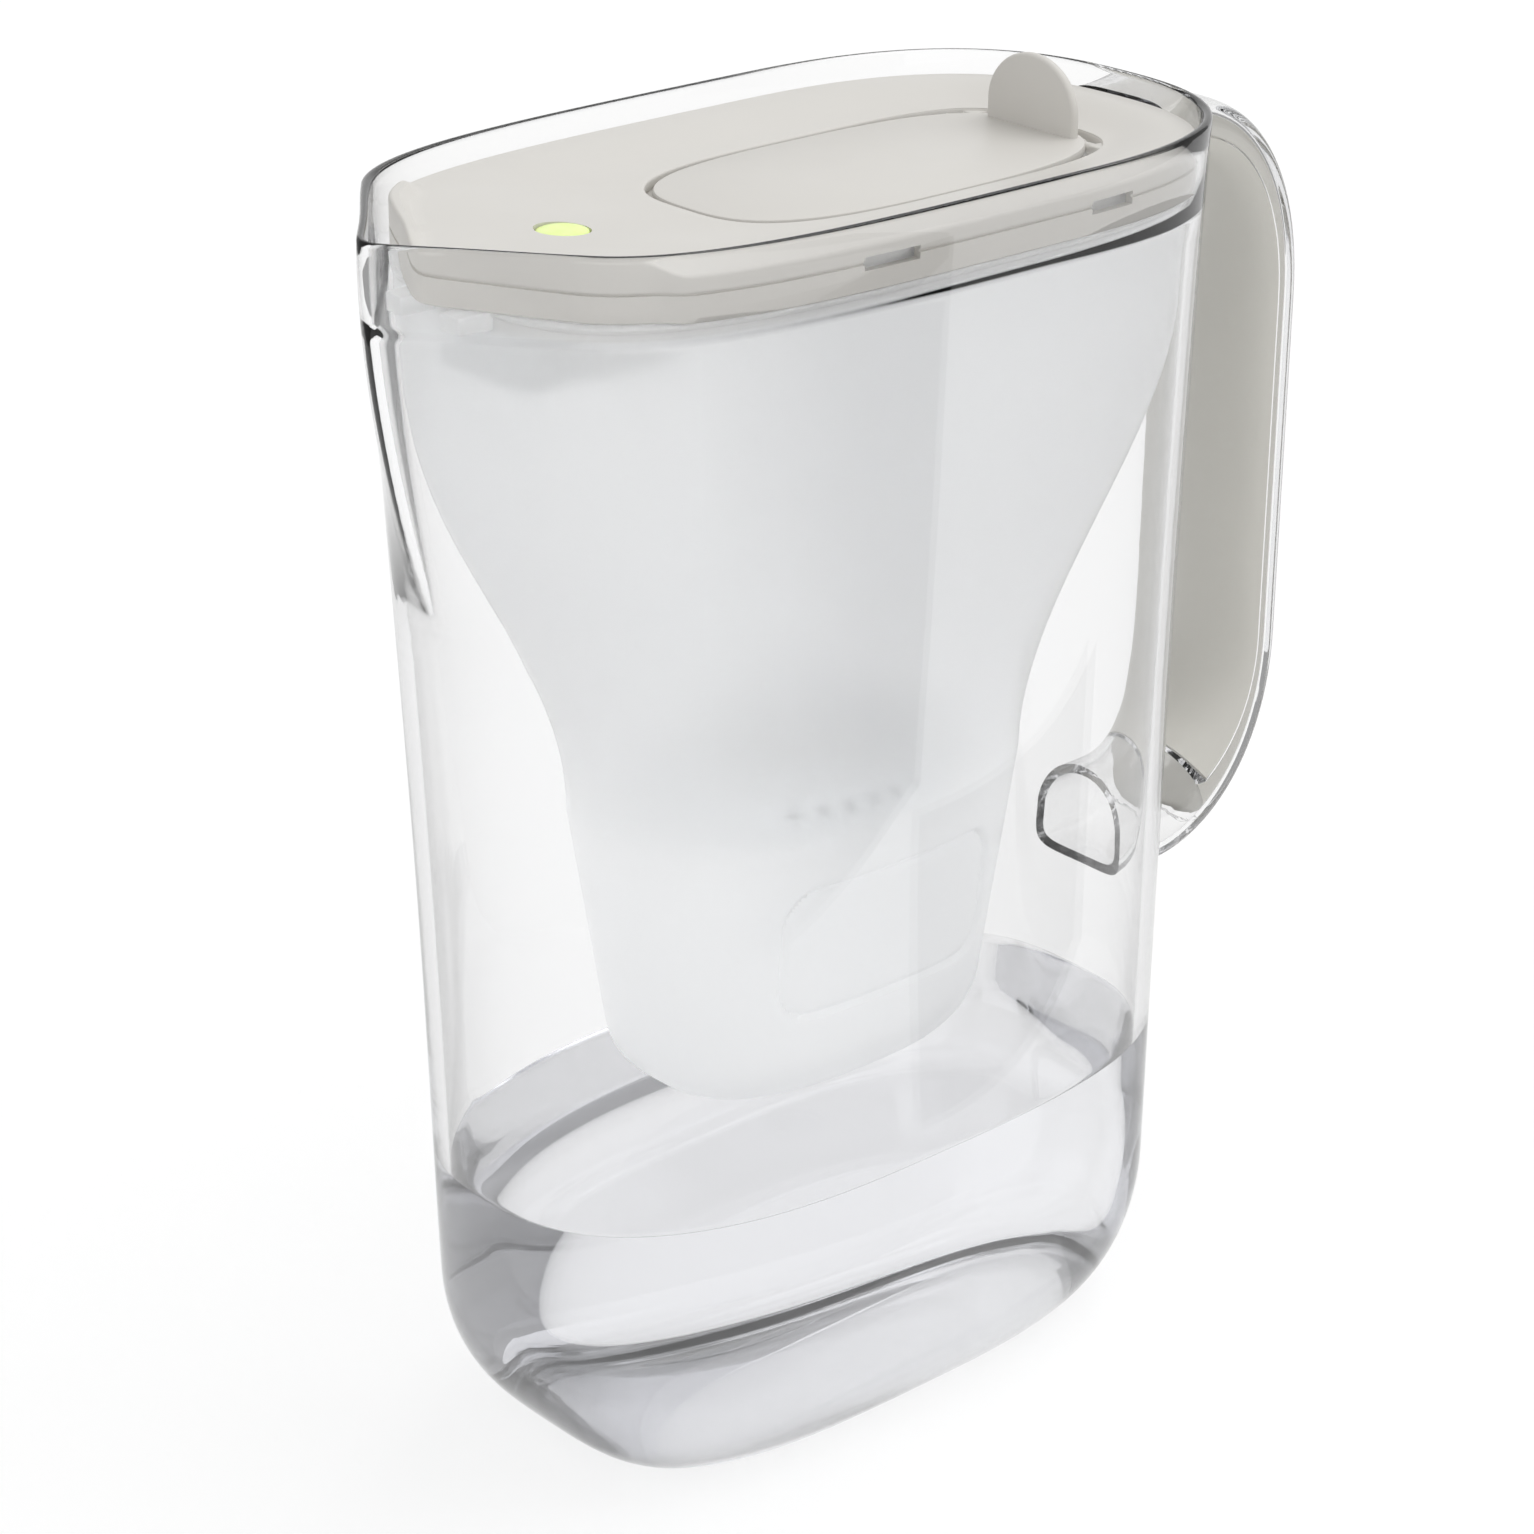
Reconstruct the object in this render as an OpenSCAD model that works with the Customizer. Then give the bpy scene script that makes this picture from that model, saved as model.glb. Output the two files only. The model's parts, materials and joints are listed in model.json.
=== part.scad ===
// Water filter pitcher with a flip lid: a clear jug with a moulded spout and D handle, a milky
// hopper that hangs in its mouth, a lid with a flip filler flap and a change indicator, and an
// oval filter cartridge that stands in the hopper's cup.
// X runs from the spout (-X) to the handle (+X), Y across, Z up. The origin is on the table under
// the jug. Millimetres.

/* [Jug] */
// Height of the jug's rim above the table
jug_h = 277; // [270:0.5:284]
// Height of the middle station of the jug's outline
waist_z = 140; // [120:1:160]
// Front of the outline at the table, the middle and the rim
front_x = [-78, -93, -91]; // [-96:0.5:-76]
// Back of the outline at the table, the middle and the rim
back_x = [90.3, 91, 93.8]; // [88:0.1:95]
// Half width at the table (before the edge is rounded), the middle and the rim
half_w = [50.5, 48, 52]; // [46:0.1:54]
// Where the outline is widest, at the table, the middle and the rim
mid_x = [12, -9.6, 27.4]; // [-20:0.1:30]
// Squareness of the front half of the outline, at the same three heights
front_n = [3.6, 2.25, 4]; // [2:0.05:4.5]
// Squareness of the back half of the outline
back_n = [2.55, 3.25, 2.54]; // [2:0.05:4.5]
// Wall thickness below the ledge that the hopper hangs on
wall = 3; // [2.6:0.1:3.4]
// Wall thickness above the ledge
rim_wall = 2; // [1.8:0.1:2.2]
// Height of the ledge inside the mouth
ledge_z = 261; // [260:0.5:262]
// Thickness of the floor
floor_t = 4; // [3:0.1:6]
// Rounding of the bottom edge, along the floor
foot_r = 17.5; // [12:0.5:20]
// Rounding of the bottom edge, up the wall
foot_h = 33; // [24:1:36]

/* [Spout] */
// How far the lip stands out of the front wall
spout_len = 19; // [16:0.5:22]
// Height over which the spout's keel fades into the wall
spout_drop = 85; // [70:1:90]
// Half width of the spout where it leaves the wall
spout_half = 30; // [26:1:32]
// Radius of the pinched tip
spout_tip_r = 4; // [3:0.5:6]

/* [Handle] */
// Back face of the handle
grip_x = 138.3; // [134:0.1:142]
// Finger side of the handle
grip_in_x = 125.3; // [122:0.1:127]
// Where the handle's curves begin
bend_x = 98; // [96:0.5:102]
// Ends of the handle's straight stretch
bend_z = [141, 221]; // [130:1:230]
// Lowest and highest point of the handle's back face
handle_z = [91, 272]; // [88:0.5:273]
// Lowest and highest point of its finger side
finger_z = [115, 256]; // [110:0.5:260]
// Width of the handle
handle_w = 29; // [26:0.5:30]
// Wall of the clear handle channel
handle_wall = 2.2; // [2:0.1:2.6]

/* [Hopper] */
// Height where the funnel becomes the cup
cup_z = 140; // [136:1:144]
// Height where the funnel has reached the jug's outline
shoulder_z = 240; // [232:1:244]
// Underside of the cup
cup_bottom = 75; // [73:0.5:78]
// Front and back of the cup at its top
cup_x = [-54.5, 52.8]; // [-56:0.1:56]
// Half width of the cup at its top
cup_half = 31.5; // [30:0.1:33]
// How much the cup draws in from top to bottom, at each end and on each side
cup_taper = [11.5, 5]; // [4:0.5:12]
// Rounding of the cup's bottom edge
cup_round = 13; // [10:0.5:15]
// Wall thickness of the hopper
hopper_t = 1.8; // [1.5:0.1:2]

/* [Lid] */
// Top edge of the lid
lid_z = 272; // [271.5:0.1:272.5]
// How far the lid's top dips towards the flap
lid_dish = 2.8; // [2.4:0.1:3]
// Plate and skirt thickness
lid_t = 1.8; // [1.6:0.1:1.9]
// How far the lid's nose reaches into the spout
lid_nose = 10; // [8:0.5:11]
// Middle of the filler flap
flap_x = 19.5; // [18:0.5:21]
// Length and width of the filler flap
flap_size = [101, 50]; // [48:0.5:102]
// Gap round the flap
flap_gap = 0.8; // [0.7:0.05:1]
// Hinge axis of the flap
hinge_x = 67.2; // [67:0.1:67.4]
// Radius of the flap's hinge pins
pin_r = 1.5; // [1.4:0.05:1.6]
// Radial running clearance of the pins
pin_clear = 0.06; // [0.04:0.01:0.09]
// Top of the thumb tab
tab_top = 285; // [282:0.5:287]
// Width of the thumb tab
tab_w = 25.6; // [24:0.2:27]

/* [Indicator] */
// Middle of the indicator's button
dot_x = -62.5; // [-63:0.5:-61]
// Radius of the button
dot_r = 5.3; // [5:0.1:5.4]
// Length and width of the indicator's housing
module_size = [38, 29]; // [27:0.5:39]
// Middle of the housing
module_x = -63.5; // [-64:0.5:-63]
// Underside of the housing's cover
module_z = 245.4; // [245:0.1:246]

/* [Cartridge] */
// Length and width of the cartridge's body at its top
core_size = [56, 42]; // [40:0.5:57]
// Underside of the cartridge
core_z = 83; // [82:0.5:85]
// How much the body narrows from top to bottom, on each side
core_taper = 2.5; // [2:0.25:3]
// Height of the seat that the cartridge presses into
seat_z = 136; // [134:0.5:137]

/* [Hidden] */
$fn = 48;
SIDES = 72; // points round each lofted outline
FRONT_BIAS = 0.66; // draws those points closer together at the spout
OVAL_SIDES = 48; // points round each small oval
ARCH_POINTS = 9; // steps over the arch of the handle's section
BACK_POINTS = 10; // points round its back
BODY_LEVELS = 9; // outlines up the jug's wall above its rounded foot
FOOT_LEVELS = 4; // outlines round the jug's foot
GAP = 0.3; // clearance between pieces that come apart
lid_gap = 0.5; // between the lid or the hopper's flange and the jug's wall
lid_inset = rim_wall + lid_gap;
skirt_z = ledge_z + GAP + 1.2 + GAP; // underside of the lid's skirt
flange_z = [ledge_z + GAP, ledge_z + GAP + 1.2];
upstand_inset = lid_inset + lid_t + GAP;
upstand_top = lid_z - lid_t - 0.6;
upstand_draft = 1; // how much it leans in at its top, so that the lid lifts clear
upstand_t = 1; // its thickness there
plug_z = ledge_z - 4.7; // lower edge of the lid's inner skirt
plug_t = 1.2;
plug_inset = [8, 7]; // from the jug's outline to that skirt, at its lower edge and its top
flap_z = lid_z - lid_dish; // top of the flap
flap_t = 2.2;
flap_n = 3; // squareness of the flap, and below it of the hole that it fills
hole_n = [3.3, 4]; // the hole is squarer in its back half
hole_size = [flap_size[0] + 2 * flap_gap + 0.6, flap_size[1] + 2 * flap_gap];
hole_x = flap_x + 0.3; // the hole is longer at the back, where the flap's tail swings down
hinge_z = flap_z - flap_t;
barrel = [1.9, 13.2]; // radius and half length of the flap's hinge barrel
boss_y = [16.9, 21]; // where the lid's hinge bosses begin and end
boss_x = [2.3, 2.6]; // how far they reach in front of the axis and behind it
pin_end = boss_y[1] - 0.9;
tab_x = [64.4, 66.6]; // front and back of the thumb tab
nose_x = along(front_x, lid_z) + lid_inset + 0.7 - lid_nose;
dot_z = lid_z - lid_dish * smooth((dot_x - nose_x) / (hole_x - hole_size[0] / 2 - nose_x));
module_top = 267.3; // top of the indicator's housing
module_t = 1.5; // its wall
cover_top = module_z + 2.2;
seal_t = 0.3;
board_z = [261, 262.2];
button_flange = [264.6, 265.5];
column = [15.3, 10.8]; // screw columns, from the middle of the housing
screw_r = 1;
cell = [10, 3.2, 248.5]; // radius, thickness and underside of the coin cell
seat_hole = [60, 46]; // hole in the hopper's shelf that takes the cartridge
shelf_t = 2;
collar = [66, 52];
collar_z = [seat_z + GAP, seat_z + GAP + 2];
core_n = 2.4; // squareness of the cartridge's ovals
core_t = 1.2;
window_x = [[-29, -15], [32, 44]]; // windows in the skirt, front and back pair
window_z = [upstand_top - 2.6, upstand_top + 0.1];
hopper_inset = wall + 0.9;
funnel_steps = [for (i = [0:7]) mix(cup_z, shoulder_z, i / 7)];
bore_r = pin_r + pin_clear;
dee_waist = 0.36; // widest place of the handle's section, from back to finger side
split_u = 0.5; // the clear channel ends here, and the grip's arch begins
grip_gap = 0.15; // between the grip and the channel that holds it
grip_step = 0.01; // the grip's arch begins this far above its core
grip_end = 2.74; // place along the handle where the grip stops
grip_top_x = 94.4; // where the grip meets the jug's wall
root_x = [88.4, 91.9]; // where the handle's low and high ends are buried in the wall
channel_steps = concat([for (i = [0:6]) i / 6], [2, 2.12, 2.25, 2.38, 2.5, 2.62, 2.725, grip_end]);
socket_steps = [grip_end, 2.82, 2.91, 3];

// ---- outlines -------------------------------------------------------------------------------

// A value that passes through its figures at the table, at waist_z and at the rim
function along(v, z) =
    v[0] * (z - waist_z) * (z - jug_h) / (waist_z * jug_h)
    + v[1] * z * (z - jug_h) / (waist_z * (waist_z - jug_h))
    + v[2] * z * (z - waist_z) / (jug_h * (jug_h - waist_z));

function smooth(t) = let (s = min(1, max(0, t))) s * s * (3 - 2 * s);
function mix(a, b, s) = a + (b - a) * s;
function reverse(list) = [for (i = [len(list) - 1:-1:0]) list[i]];

// Angles round an outline, closer together at the front, where the spout is
function bearing(k) =
    let (turn = 360 * k / SIDES - 180)
    180 + turn - FRONT_BIAS * sin(turn) * 180 / PI;

// Point of a squared oval whose front and back halves differ
function oval_point(angle, mid, front, back, half, nf, nb) =
    let (
        c = cos(angle),
        s = sin(angle),
        a = c < 0 ? mid - front : back - mid,
        n = c < 0 ? nf : nb,
        r = pow(pow(abs(c) / a, n) + pow(abs(s) / half, n), -1 / n)
    )
    [mid + r * c, r * s];

// How far the bottom edge is drawn in at height z
function foot_inset(z) = z >= foot_h ? 0
    : foot_r * (1 - sqrt(max(0, 1 - pow(1 - z / foot_h, 2))));

// Length of the spout at height z, and its shape across the jug
function spout_at(z) = z <= jug_h - spout_drop ? 0
    : spout_len * (1 - pow((jug_h - z) / spout_drop, 1.6));
function spout_shape(y, reach) =
    let (
        half = spout_half * (0.55 + 0.45 * reach / spout_len),
        u = (sqrt(y * y + spout_tip_r * spout_tip_r) - spout_tip_r) / half
    )
    u >= 1 ? 0 : pow(1 - u, 1.6);

// The jug's outline at height z, drawn in by inset, with a spout of the given reach
function jug_ring(z, inset, reach) = [
    for (k = [0:SIDES - 1])
        let (
            p = oval_point(bearing(k), along(mid_x, z), along(front_x, z) + inset,
                along(back_x, z) - inset, along(half_w, z) - inset,
                along(front_n, z), along(back_n, z)),
            beak = p[0] < along(mid_x, z) ? reach * spout_shape(p[1], reach) : 0
        )
        [p[0] - beak, p[1], z]
];

// A plain oval ring on the same bearings
function oval_ring(mid, size, n, z) = [
    for (k = [0:SIDES - 1])
        let (p = oval_point(bearing(k), mid, mid - size[0] / 2, mid + size[0] / 2, size[1] / 2, n, n))
        [p[0], p[1], z]
];

function blend_rings(a, b, s, z) = [
    for (k = [0:len(a) - 1]) [mix(a[k][0], b[k][0], s), mix(a[k][1], b[k][1], s), z]
];

// Outline of a small oval as a flat polygon
function oval_outline(size, n) = [
    for (k = [0:OVAL_SIDES - 1]) oval_point(360 * k / OVAL_SIDES, 0, -size[0] / 2, size[0] / 2,
        size[1] / 2, n, n)
];

// A closed solid through a list of rings. ends says what closes it: "flat" end faces, "band" for
// rings that run out along one side of a thin section and back along the other, or "joined" when
// the last ring meets the first
module loft(rings, ends = "flat") {
    n = len(rings[0]);
    m = len(rings);
    last = ends == "joined" ? m - 1 : m - 2;
    side = [
        for (i = [0:last], k = [0:n - 1], half = [0, 1])
            let (a = i * n, b = ((i + 1) % m) * n, j = (k + 1) % n)
            half == 0 ? [a + k, b + k, a + j] : [a + j, b + k, b + j]
    ];
    top = (m - 1) * n;
    flat = [[for (k = [0:n - 1]) k], [for (k = [n - 1:-1:0]) top + k]];
    band = [
        for (k = [0:n / 2 - 2], end = [0, top])
            let (quad = [end + k, end + k + 1, end + n - 2 - k, end + n - 1 - k])
            end == 0 ? quad : [quad[3], quad[2], quad[1], quad[0]]
    ];
    polyhedron(points = [for (ring = rings) each ring],
        faces = concat(side, ends == "flat" ? flat : ends == "band" ? band : []));
}

module oval_prism(size, n, z0, z1) {
    translate([0, 0, z0]) linear_extrude(z1 - z0) polygon(oval_outline(size, n));
}

// ---- jug ------------------------------------------------------------------------------------

// Heights of the outlines: close together round the foot, even up the wall
function body_levels(low, high) = concat(
    [for (i = [0:FOOT_LEVELS - 1]) low + (foot_h - low) * (1 - cos(90 * i / FOOT_LEVELS))],
    [for (i = [0:BODY_LEVELS - 1]) mix(foot_h, high, i / (BODY_LEVELS - 1))]
);

module jug_wall() {
    lip = 0.7; // rounding of the rim
    outside = [
        for (z = body_levels(0, jug_h - lip)) jug_ring(z, foot_inset(z), spout_at(z))
    ];
    rim = [
        jug_ring(jug_h, lip, spout_at(jug_h)),
        jug_ring(jug_h, rim_wall - lip, spout_at(jug_h)),
        jug_ring(jug_h - lip, rim_wall, spout_at(jug_h))
    ];
    ledge = [
        jug_ring(ledge_z, rim_wall, spout_at(ledge_z)),
        jug_ring(ledge_z - 0.4, wall, spout_at(ledge_z))
    ];
    heights = body_levels(floor_t, ledge_z - 4);
    inside = [
        for (i = [len(heights) - 1:-1:0])
            let (z = heights[i])
            jug_ring(z, wall + foot_inset(foot_h * (z - floor_t) / (foot_h - floor_t)), spout_at(z))
    ];
    loft(concat(outside, rim, ledge, inside));
}

// Point on a bent edge of the handle: t 0 to 1 is the top bend, 1 to 2 the straight stretch,
// 2 to 3 the lower bend. low and high are the edge's ends up the jug
function edge_point(x, low, high, t) =
    let (
        a = t < 1 ? 90 * (1 - t) : 90 * (t - 2),
        n = 2.15,
        bent_x = bend_x + (x - bend_x) * pow(cos(a), 2 / n),
        rise = pow(sin(a), 2 / n)
    )
    t < 1 ? [bent_x, mix(bend_z[1], high, rise)]
    : t <= 2 ? [x, mix(bend_z[1], bend_z[0], t - 1)]
    : [bent_x, mix(bend_z[0], low, rise)];

function back_edge(t) = edge_point(grip_x, handle_z[0], handle_z[1], t);
function finger_edge(t) = edge_point(grip_in_x, finger_z[0], finger_z[1], t);

// One section of the handle, where outline is a list of [u, y]: u is 0 at the back edge and 1 at
// the finger side. root is the plane that an end is buried on, or 0 along the handle
function dee(t, root, outline) =
    let (a = back_edge(t), b = finger_edge(t), shift = root == 0 ? 0 : root - bend_x)
    [for (p = outline) [mix(a[0], b[0], p[0]) + shift, p[1], mix(a[1], b[1], p[0])]];

// Point of the D-shaped section: flat at the back, arched on the finger side
function dee_point(a, skin, depth) =
    let (
        n = sin(a) > 0 ? 2.1 : 5,
        arm = sin(a) > 0 ? 1 - dee_waist - skin / depth : dee_waist - skin / depth
    )
    [dee_waist + arm * sign(sin(a)) * pow(abs(sin(a)), 2 / n),
        (handle_w / 2 - skin) * sign(cos(a)) * pow(abs(cos(a)), 2 / n)];

// The arch of the section from u = low up and over to u = low again, and the back below it
function dee_arch(skin, depth, low) =
    let (start = asin(pow((low - dee_waist) / (1 - dee_waist - skin / depth), 1.05)))
    [for (k = [0:ARCH_POINTS]) dee_point(mix(start, 180 - start, k / ARCH_POINTS), skin, depth)];
function dee_back(skin, depth) =
    [for (k = [0:BACK_POINTS - 1]) dee_point(180 + 180 * (k + 0.5) / BACK_POINTS, skin, depth)];

function dee_tube(skin, depth) = concat(dee_arch(skin, depth, split_u), dee_back(skin, depth));
function dee_channel(skin, depth) =
    let (arch = dee_arch(skin, depth, split_u))
    concat([arch[ARCH_POINTS]], dee_back(skin, depth), [arch[0]]);
function dee_band(depth) =
    concat(dee_channel(0, depth), reverse(dee_channel(handle_wall, depth)));
// The grip fills the channel and makes the arch over it. Its outline starts in the middle of its
// back, so that it runs out on one side and returns on the other
function dee_grip(depth) =
    let (
        low = split_u + grip_gap / depth,
        skin = handle_wall + grip_gap,
        core = dee_arch(skin, depth, low),
        back = dee_back(skin, depth),
        half = BACK_POINTS / 2
    )
    concat([for (k = [half:BACK_POINTS - 1]) back[k]], [core[0]],
        dee_arch(0, depth, low + grip_step), [core[ARCH_POINTS]],
        [for (k = [0:half - 1]) back[k]]);

function depth_at(t) = norm(back_edge(t) - finger_edge(t));

module handle_channel() {
    loft(reverse(concat(
        [dee(0, root_x[1], dee_band(depth_at(0)))],
        [for (t = channel_steps) dee(t, 0, dee_band(depth_at(t)))]
    )), "band");
}

// The closed, hollow stretch below the grip
module handle_socket() {
    outside = concat(
        [for (t = socket_steps) dee(t, 0, dee_tube(0, depth_at(t)))],
        [dee(3, root_x[0], dee_tube(0, depth_at(3)))]
    );
    inside = concat(
        [for (t = socket_steps) dee(t, 0, dee_tube(handle_wall, depth_at(t)))],
        [dee(3, root_x[0], dee_tube(handle_wall, depth_at(3)))]
    );
    loft(concat(inside, reverse(outside)), "joined");
}

module jug_body() {
    color([0.93, 0.95, 0.96, 0.35]) union() {
        jug_wall();
        handle_channel();
        handle_socket();
    }
}

// The grip's last ring lies a little short of the channel's, so that its end is free
module handle_grip() {
    sections = [for (t = channel_steps) dee(t, 0, dee_grip(depth_at(t)))];
    n = len(sections);
    color([0.78, 0.76, 0.73]) loft(reverse(concat(
        [dee(0, grip_top_x, dee_grip(depth_at(0)))],
        [for (i = [0:n - 2]) sections[i]],
        [mix(sections[n - 2], sections[n - 1], 0.3)]
    )), "band");
}

// ---- hopper ---------------------------------------------------------------------------------

// Outline of the cup at height z, narrower towards its rounded bottom
function cup_ring(z, inset) =
    let (
        s = (cup_z - z) / (cup_z - cup_bottom),
        u = max(0, 1 - (z - cup_bottom) / cup_round),
        round = cup_round * (1 - sqrt(1 - u * u)),
        x_in = cup_taper[0] * s + round + inset,
        y_in = cup_taper[1] * s + 0.8 * round + inset
    )
    [for (k = [0:SIDES - 1])
        let (p = oval_point(bearing(k), 0, cup_x[0] + x_in, cup_x[1] - x_in, cup_half - y_in, 2.6, 2.6))
        [p[0], p[1], z]];

// Outline of the hopper: the cup's, swelling above it into the jug's
function hopper_ring(z, inset) = z <= cup_z ? cup_ring(z, inset)
    : blend_rings(cup_ring(cup_z, inset), jug_ring(z, hopper_inset + inset, 0),
        smooth((z - cup_z) / (shoulder_z - cup_z)), z);

// The cup, with the outlet in its floor and the shelf that takes the cartridge
module hopper_cup() {
    outlet = [14, 14];
    round_steps = [for (u = [0, 0.1, 0.3, 0.6, 1]) cup_bottom + u * cup_round];
    floor_z = cup_bottom + hopper_t;
    color([0.9, 0.93, 0.95, 0.7]) loft(concat(
        [oval_ring(0, outlet, 2, cup_bottom)],
        [for (z = round_steps) cup_ring(z, 0)],
        [cup_ring(cup_z, 0), cup_ring(cup_z, hopper_t)],
        [cup_ring(seat_z, hopper_t), oval_ring(0, seat_hole, core_n, seat_z),
            oval_ring(0, seat_hole, core_n, seat_z - shelf_t), cup_ring(seat_z - shelf_t, hopper_t)],
        [for (z = reverse(round_steps)) cup_ring(max(z, floor_z), hopper_t)],
        [oval_ring(0, outlet, 2, floor_z)]
    ), "joined");
}

// The funnel stands on the cup's edge and carries the rim
module hopper_funnel() {
    color([0.9, 0.93, 0.95, 0.7]) loft(concat(
        [for (z = funnel_steps) hopper_ring(z, 0)],
        [for (z = reverse(funnel_steps)) hopper_ring(z, hopper_t)]
    ), "joined");
}

// The rim: its flange hangs on the jug's ledge, and its upstand centres the lid
module hopper_rim() {
    shell = [
        hopper_ring(shoulder_z, 0), hopper_ring(flange_z[0], 0), jug_ring(flange_z[0], lid_inset, 0),
        jug_ring(flange_z[1], lid_inset, 0), jug_ring(flange_z[1], upstand_inset, 0),
        jug_ring(upstand_top, upstand_inset + upstand_draft, 0),
        jug_ring(upstand_top, upstand_inset + upstand_draft + upstand_t, 0),
        hopper_ring(flange_z[1] - 1, hopper_t), hopper_ring(shoulder_z, hopper_t)
    ];
    color([0.9, 0.93, 0.95, 0.7]) union() {
        loft(shell, "joined");
        hopper_lugs();
        hopper_tabs();
    }
}

// Four lugs on the rim, one behind each window of the lid. They stop short of the lid's skirt
module hopper_lugs() {
    low = window_z[0] + GAP;
    high = window_z[1] - GAP;
    face = upstand_inset + 0.4;
    root = face + 1; // inside the upstand's wall
    for (span = window_x) intersection() {
        loft([
            jug_ring(low, face, 0), jug_ring(high, face, 0),
            jug_ring(high, root, 0), jug_ring(low, root, 0)
        ], "joined");
        translate([span[0] + 0.5, -half_w[2], low - 1])
            cube([span[1] - span[0] - 1, 2 * half_w[2], high - low + 2]);
    }
}

// Two small tabs at the front that keep the hopper square in the spout
module hopper_tabs() {
    nose = along(front_x, flange_z[0]) + lid_inset;
    for (side = [-1, 1])
        translate([nose - 7.5, side * 9 - 3, flange_z[1] - 4]) cube([8.5, 6, 4]);
}

// ---- lid ------------------------------------------------------------------------------------

// Outline of the hole for the flap
function hole_ring(z) = [
    for (k = [0:SIDES - 1])
        let (p = oval_point(bearing(k), hole_x, hole_x - hole_size[0] / 2,
            hole_x + hole_size[0] / 2, hole_size[1] / 2, hole_n[0], hole_n[1]))
        [p[0], p[1], z]
];

module lid_shell() {
    hole = hole_ring(0);
    edge = jug_ring(lid_z, lid_inset + 0.7, lid_nose);
    under = jug_ring(lid_z - lid_t, lid_inset + lid_t, lid_nose);
    steps = [0.15, 0.35, 0.6, 0.8, 1];
    shell = concat(
        [jug_ring(skirt_z, lid_inset, lid_nose), jug_ring(lid_z - 0.8, lid_inset, lid_nose), edge],
        [for (q = steps) blend_rings(edge, hole, q, lid_z - lid_dish * smooth(q))],
        [for (q = reverse(steps)) blend_rings(under, hole, q, lid_z - lid_t - lid_dish * smooth(q))],
        [under, jug_ring(skirt_z, lid_inset + lid_t, lid_nose)]
    );
    color([0.84, 0.83, 0.81]) difference() {
        union() {
            loft(shell, "joined");
            inner_skirt();
            flap_ledge();
            module_collar();
            for (side = [-1, 1]) hinge_boss(side);
        }
        for (side = [-1, 1]) hinge_bore(side);
        translate([dot_x, 0, dot_z - 4]) cylinder(r = dot_r + 0.4, h = 8);
        lid_windows();
    }
}

// The skirt that reaches down inside the hopper's rim
module inner_skirt() {
    top = lid_z - lid_t + 0.5;
    loft([
        jug_ring(plug_z, plug_inset[0], 0), jug_ring(top, plug_inset[1], 0),
        jug_ring(top, plug_inset[1] + plug_t, 0), jug_ring(plug_z, plug_inset[0] + plug_t, 0)
    ], "joined");
}

// The ledge that the closed flap rests on, round all but its tail
module flap_ledge() {
    top = flap_z - flap_t - GAP;
    tail = 48;
    translate([hole_x, 0, 0]) intersection() {
        union() {
            difference() {
                oval_prism(hole_size + [3.6, 3.6], hole_n[0], top - 1.4, flap_z - 0.7);
                oval_prism(hole_size + [0.6, 0.6], hole_n[0], top - 2, flap_z);
            }
            difference() {
                oval_prism(hole_size + [2, 2], hole_n[0], top - 1.4, top);
                oval_prism(hole_size - [6, 6], hole_n[0], top - 2, top + 1);
            }
        }
        translate([-hole_size[0], -hole_size[1], top - 3])
            cube([hole_size[0] + tail - hole_x, 2 * hole_size[1], 20]);
    }
}

// Frame under the lid that the indicator's housing clips into
module module_collar() {
    t = 1.4;
    x0 = module_x - module_size[0] / 2 - 0.2 - t;
    x1 = module_x + module_size[0] / 2 + 0.2 + t;
    half = module_size[1] / 2 + 0.2 + t;
    difference() {
        rotate([90, 0, 0]) linear_extrude(2 * half, center = true)
            polygon([[x0, 265], [x1, 265], [x1, 268.7], [x0, 270.6]]);
        translate([x0 + t, t - half, 260]) cube([x1 - x0 - 2 * t, 2 * (half - t), 20]);
    }
}

module hinge_boss(side) {
    y = side > 0 ? boss_y[0] : -boss_y[1];
    translate([hinge_x - boss_x[0], y, hinge_z - bore_r - 1.3])
        cube([boss_x[0] + boss_x[1], boss_y[1] - boss_y[0], bore_r + 1.3 + flap_t - 0.5]);
}

module hinge_bore(side) {
    translate([hinge_x, side * boss_y[0] - side * 1, hinge_z]) rotate([-90 * side, 0, 0])
        cylinder(r = bore_r, h = pin_end - boss_y[0] + 1.3);
}

module lid_windows() {
    for (span = window_x, side = [-1, 1])
        translate([span[0], side > 0 ? 40 : -60, window_z[0]])
            cube([span[1] - span[0], 20, window_z[1] - window_z[0]]);
}

module flap() {
    color([0.84, 0.83, 0.81]) union() {
        translate([flap_x, 0, 0]) oval_prism(flap_size, flap_n, flap_z - flap_t, flap_z);
        translate([hinge_x, barrel[1], hinge_z]) rotate([90, 0, 0])
            cylinder(r = barrel[0], h = 2 * barrel[1]);
        translate([hinge_x, pin_end, hinge_z]) rotate([90, 0, 0])
            cylinder(r = pin_r, h = 2 * pin_end);
        thumb_tab();
    }
}

module thumb_tab() {
    shoulder = tab_top - 11.5;
    arch = [for (a = [0:12:180])
        [tab_w / 2 * cos(a), shoulder + (tab_top - shoulder) * sin(a)]];
    translate([tab_x[0], 0, 0]) rotate([90, 0, 90]) linear_extrude(tab_x[1] - tab_x[0])
        polygon(concat([[tab_w / 2, flap_z - 1]], arch, [[-tab_w / 2, flap_z - 1]]));
}

// ---- indicator ------------------------------------------------------------------------------

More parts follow.
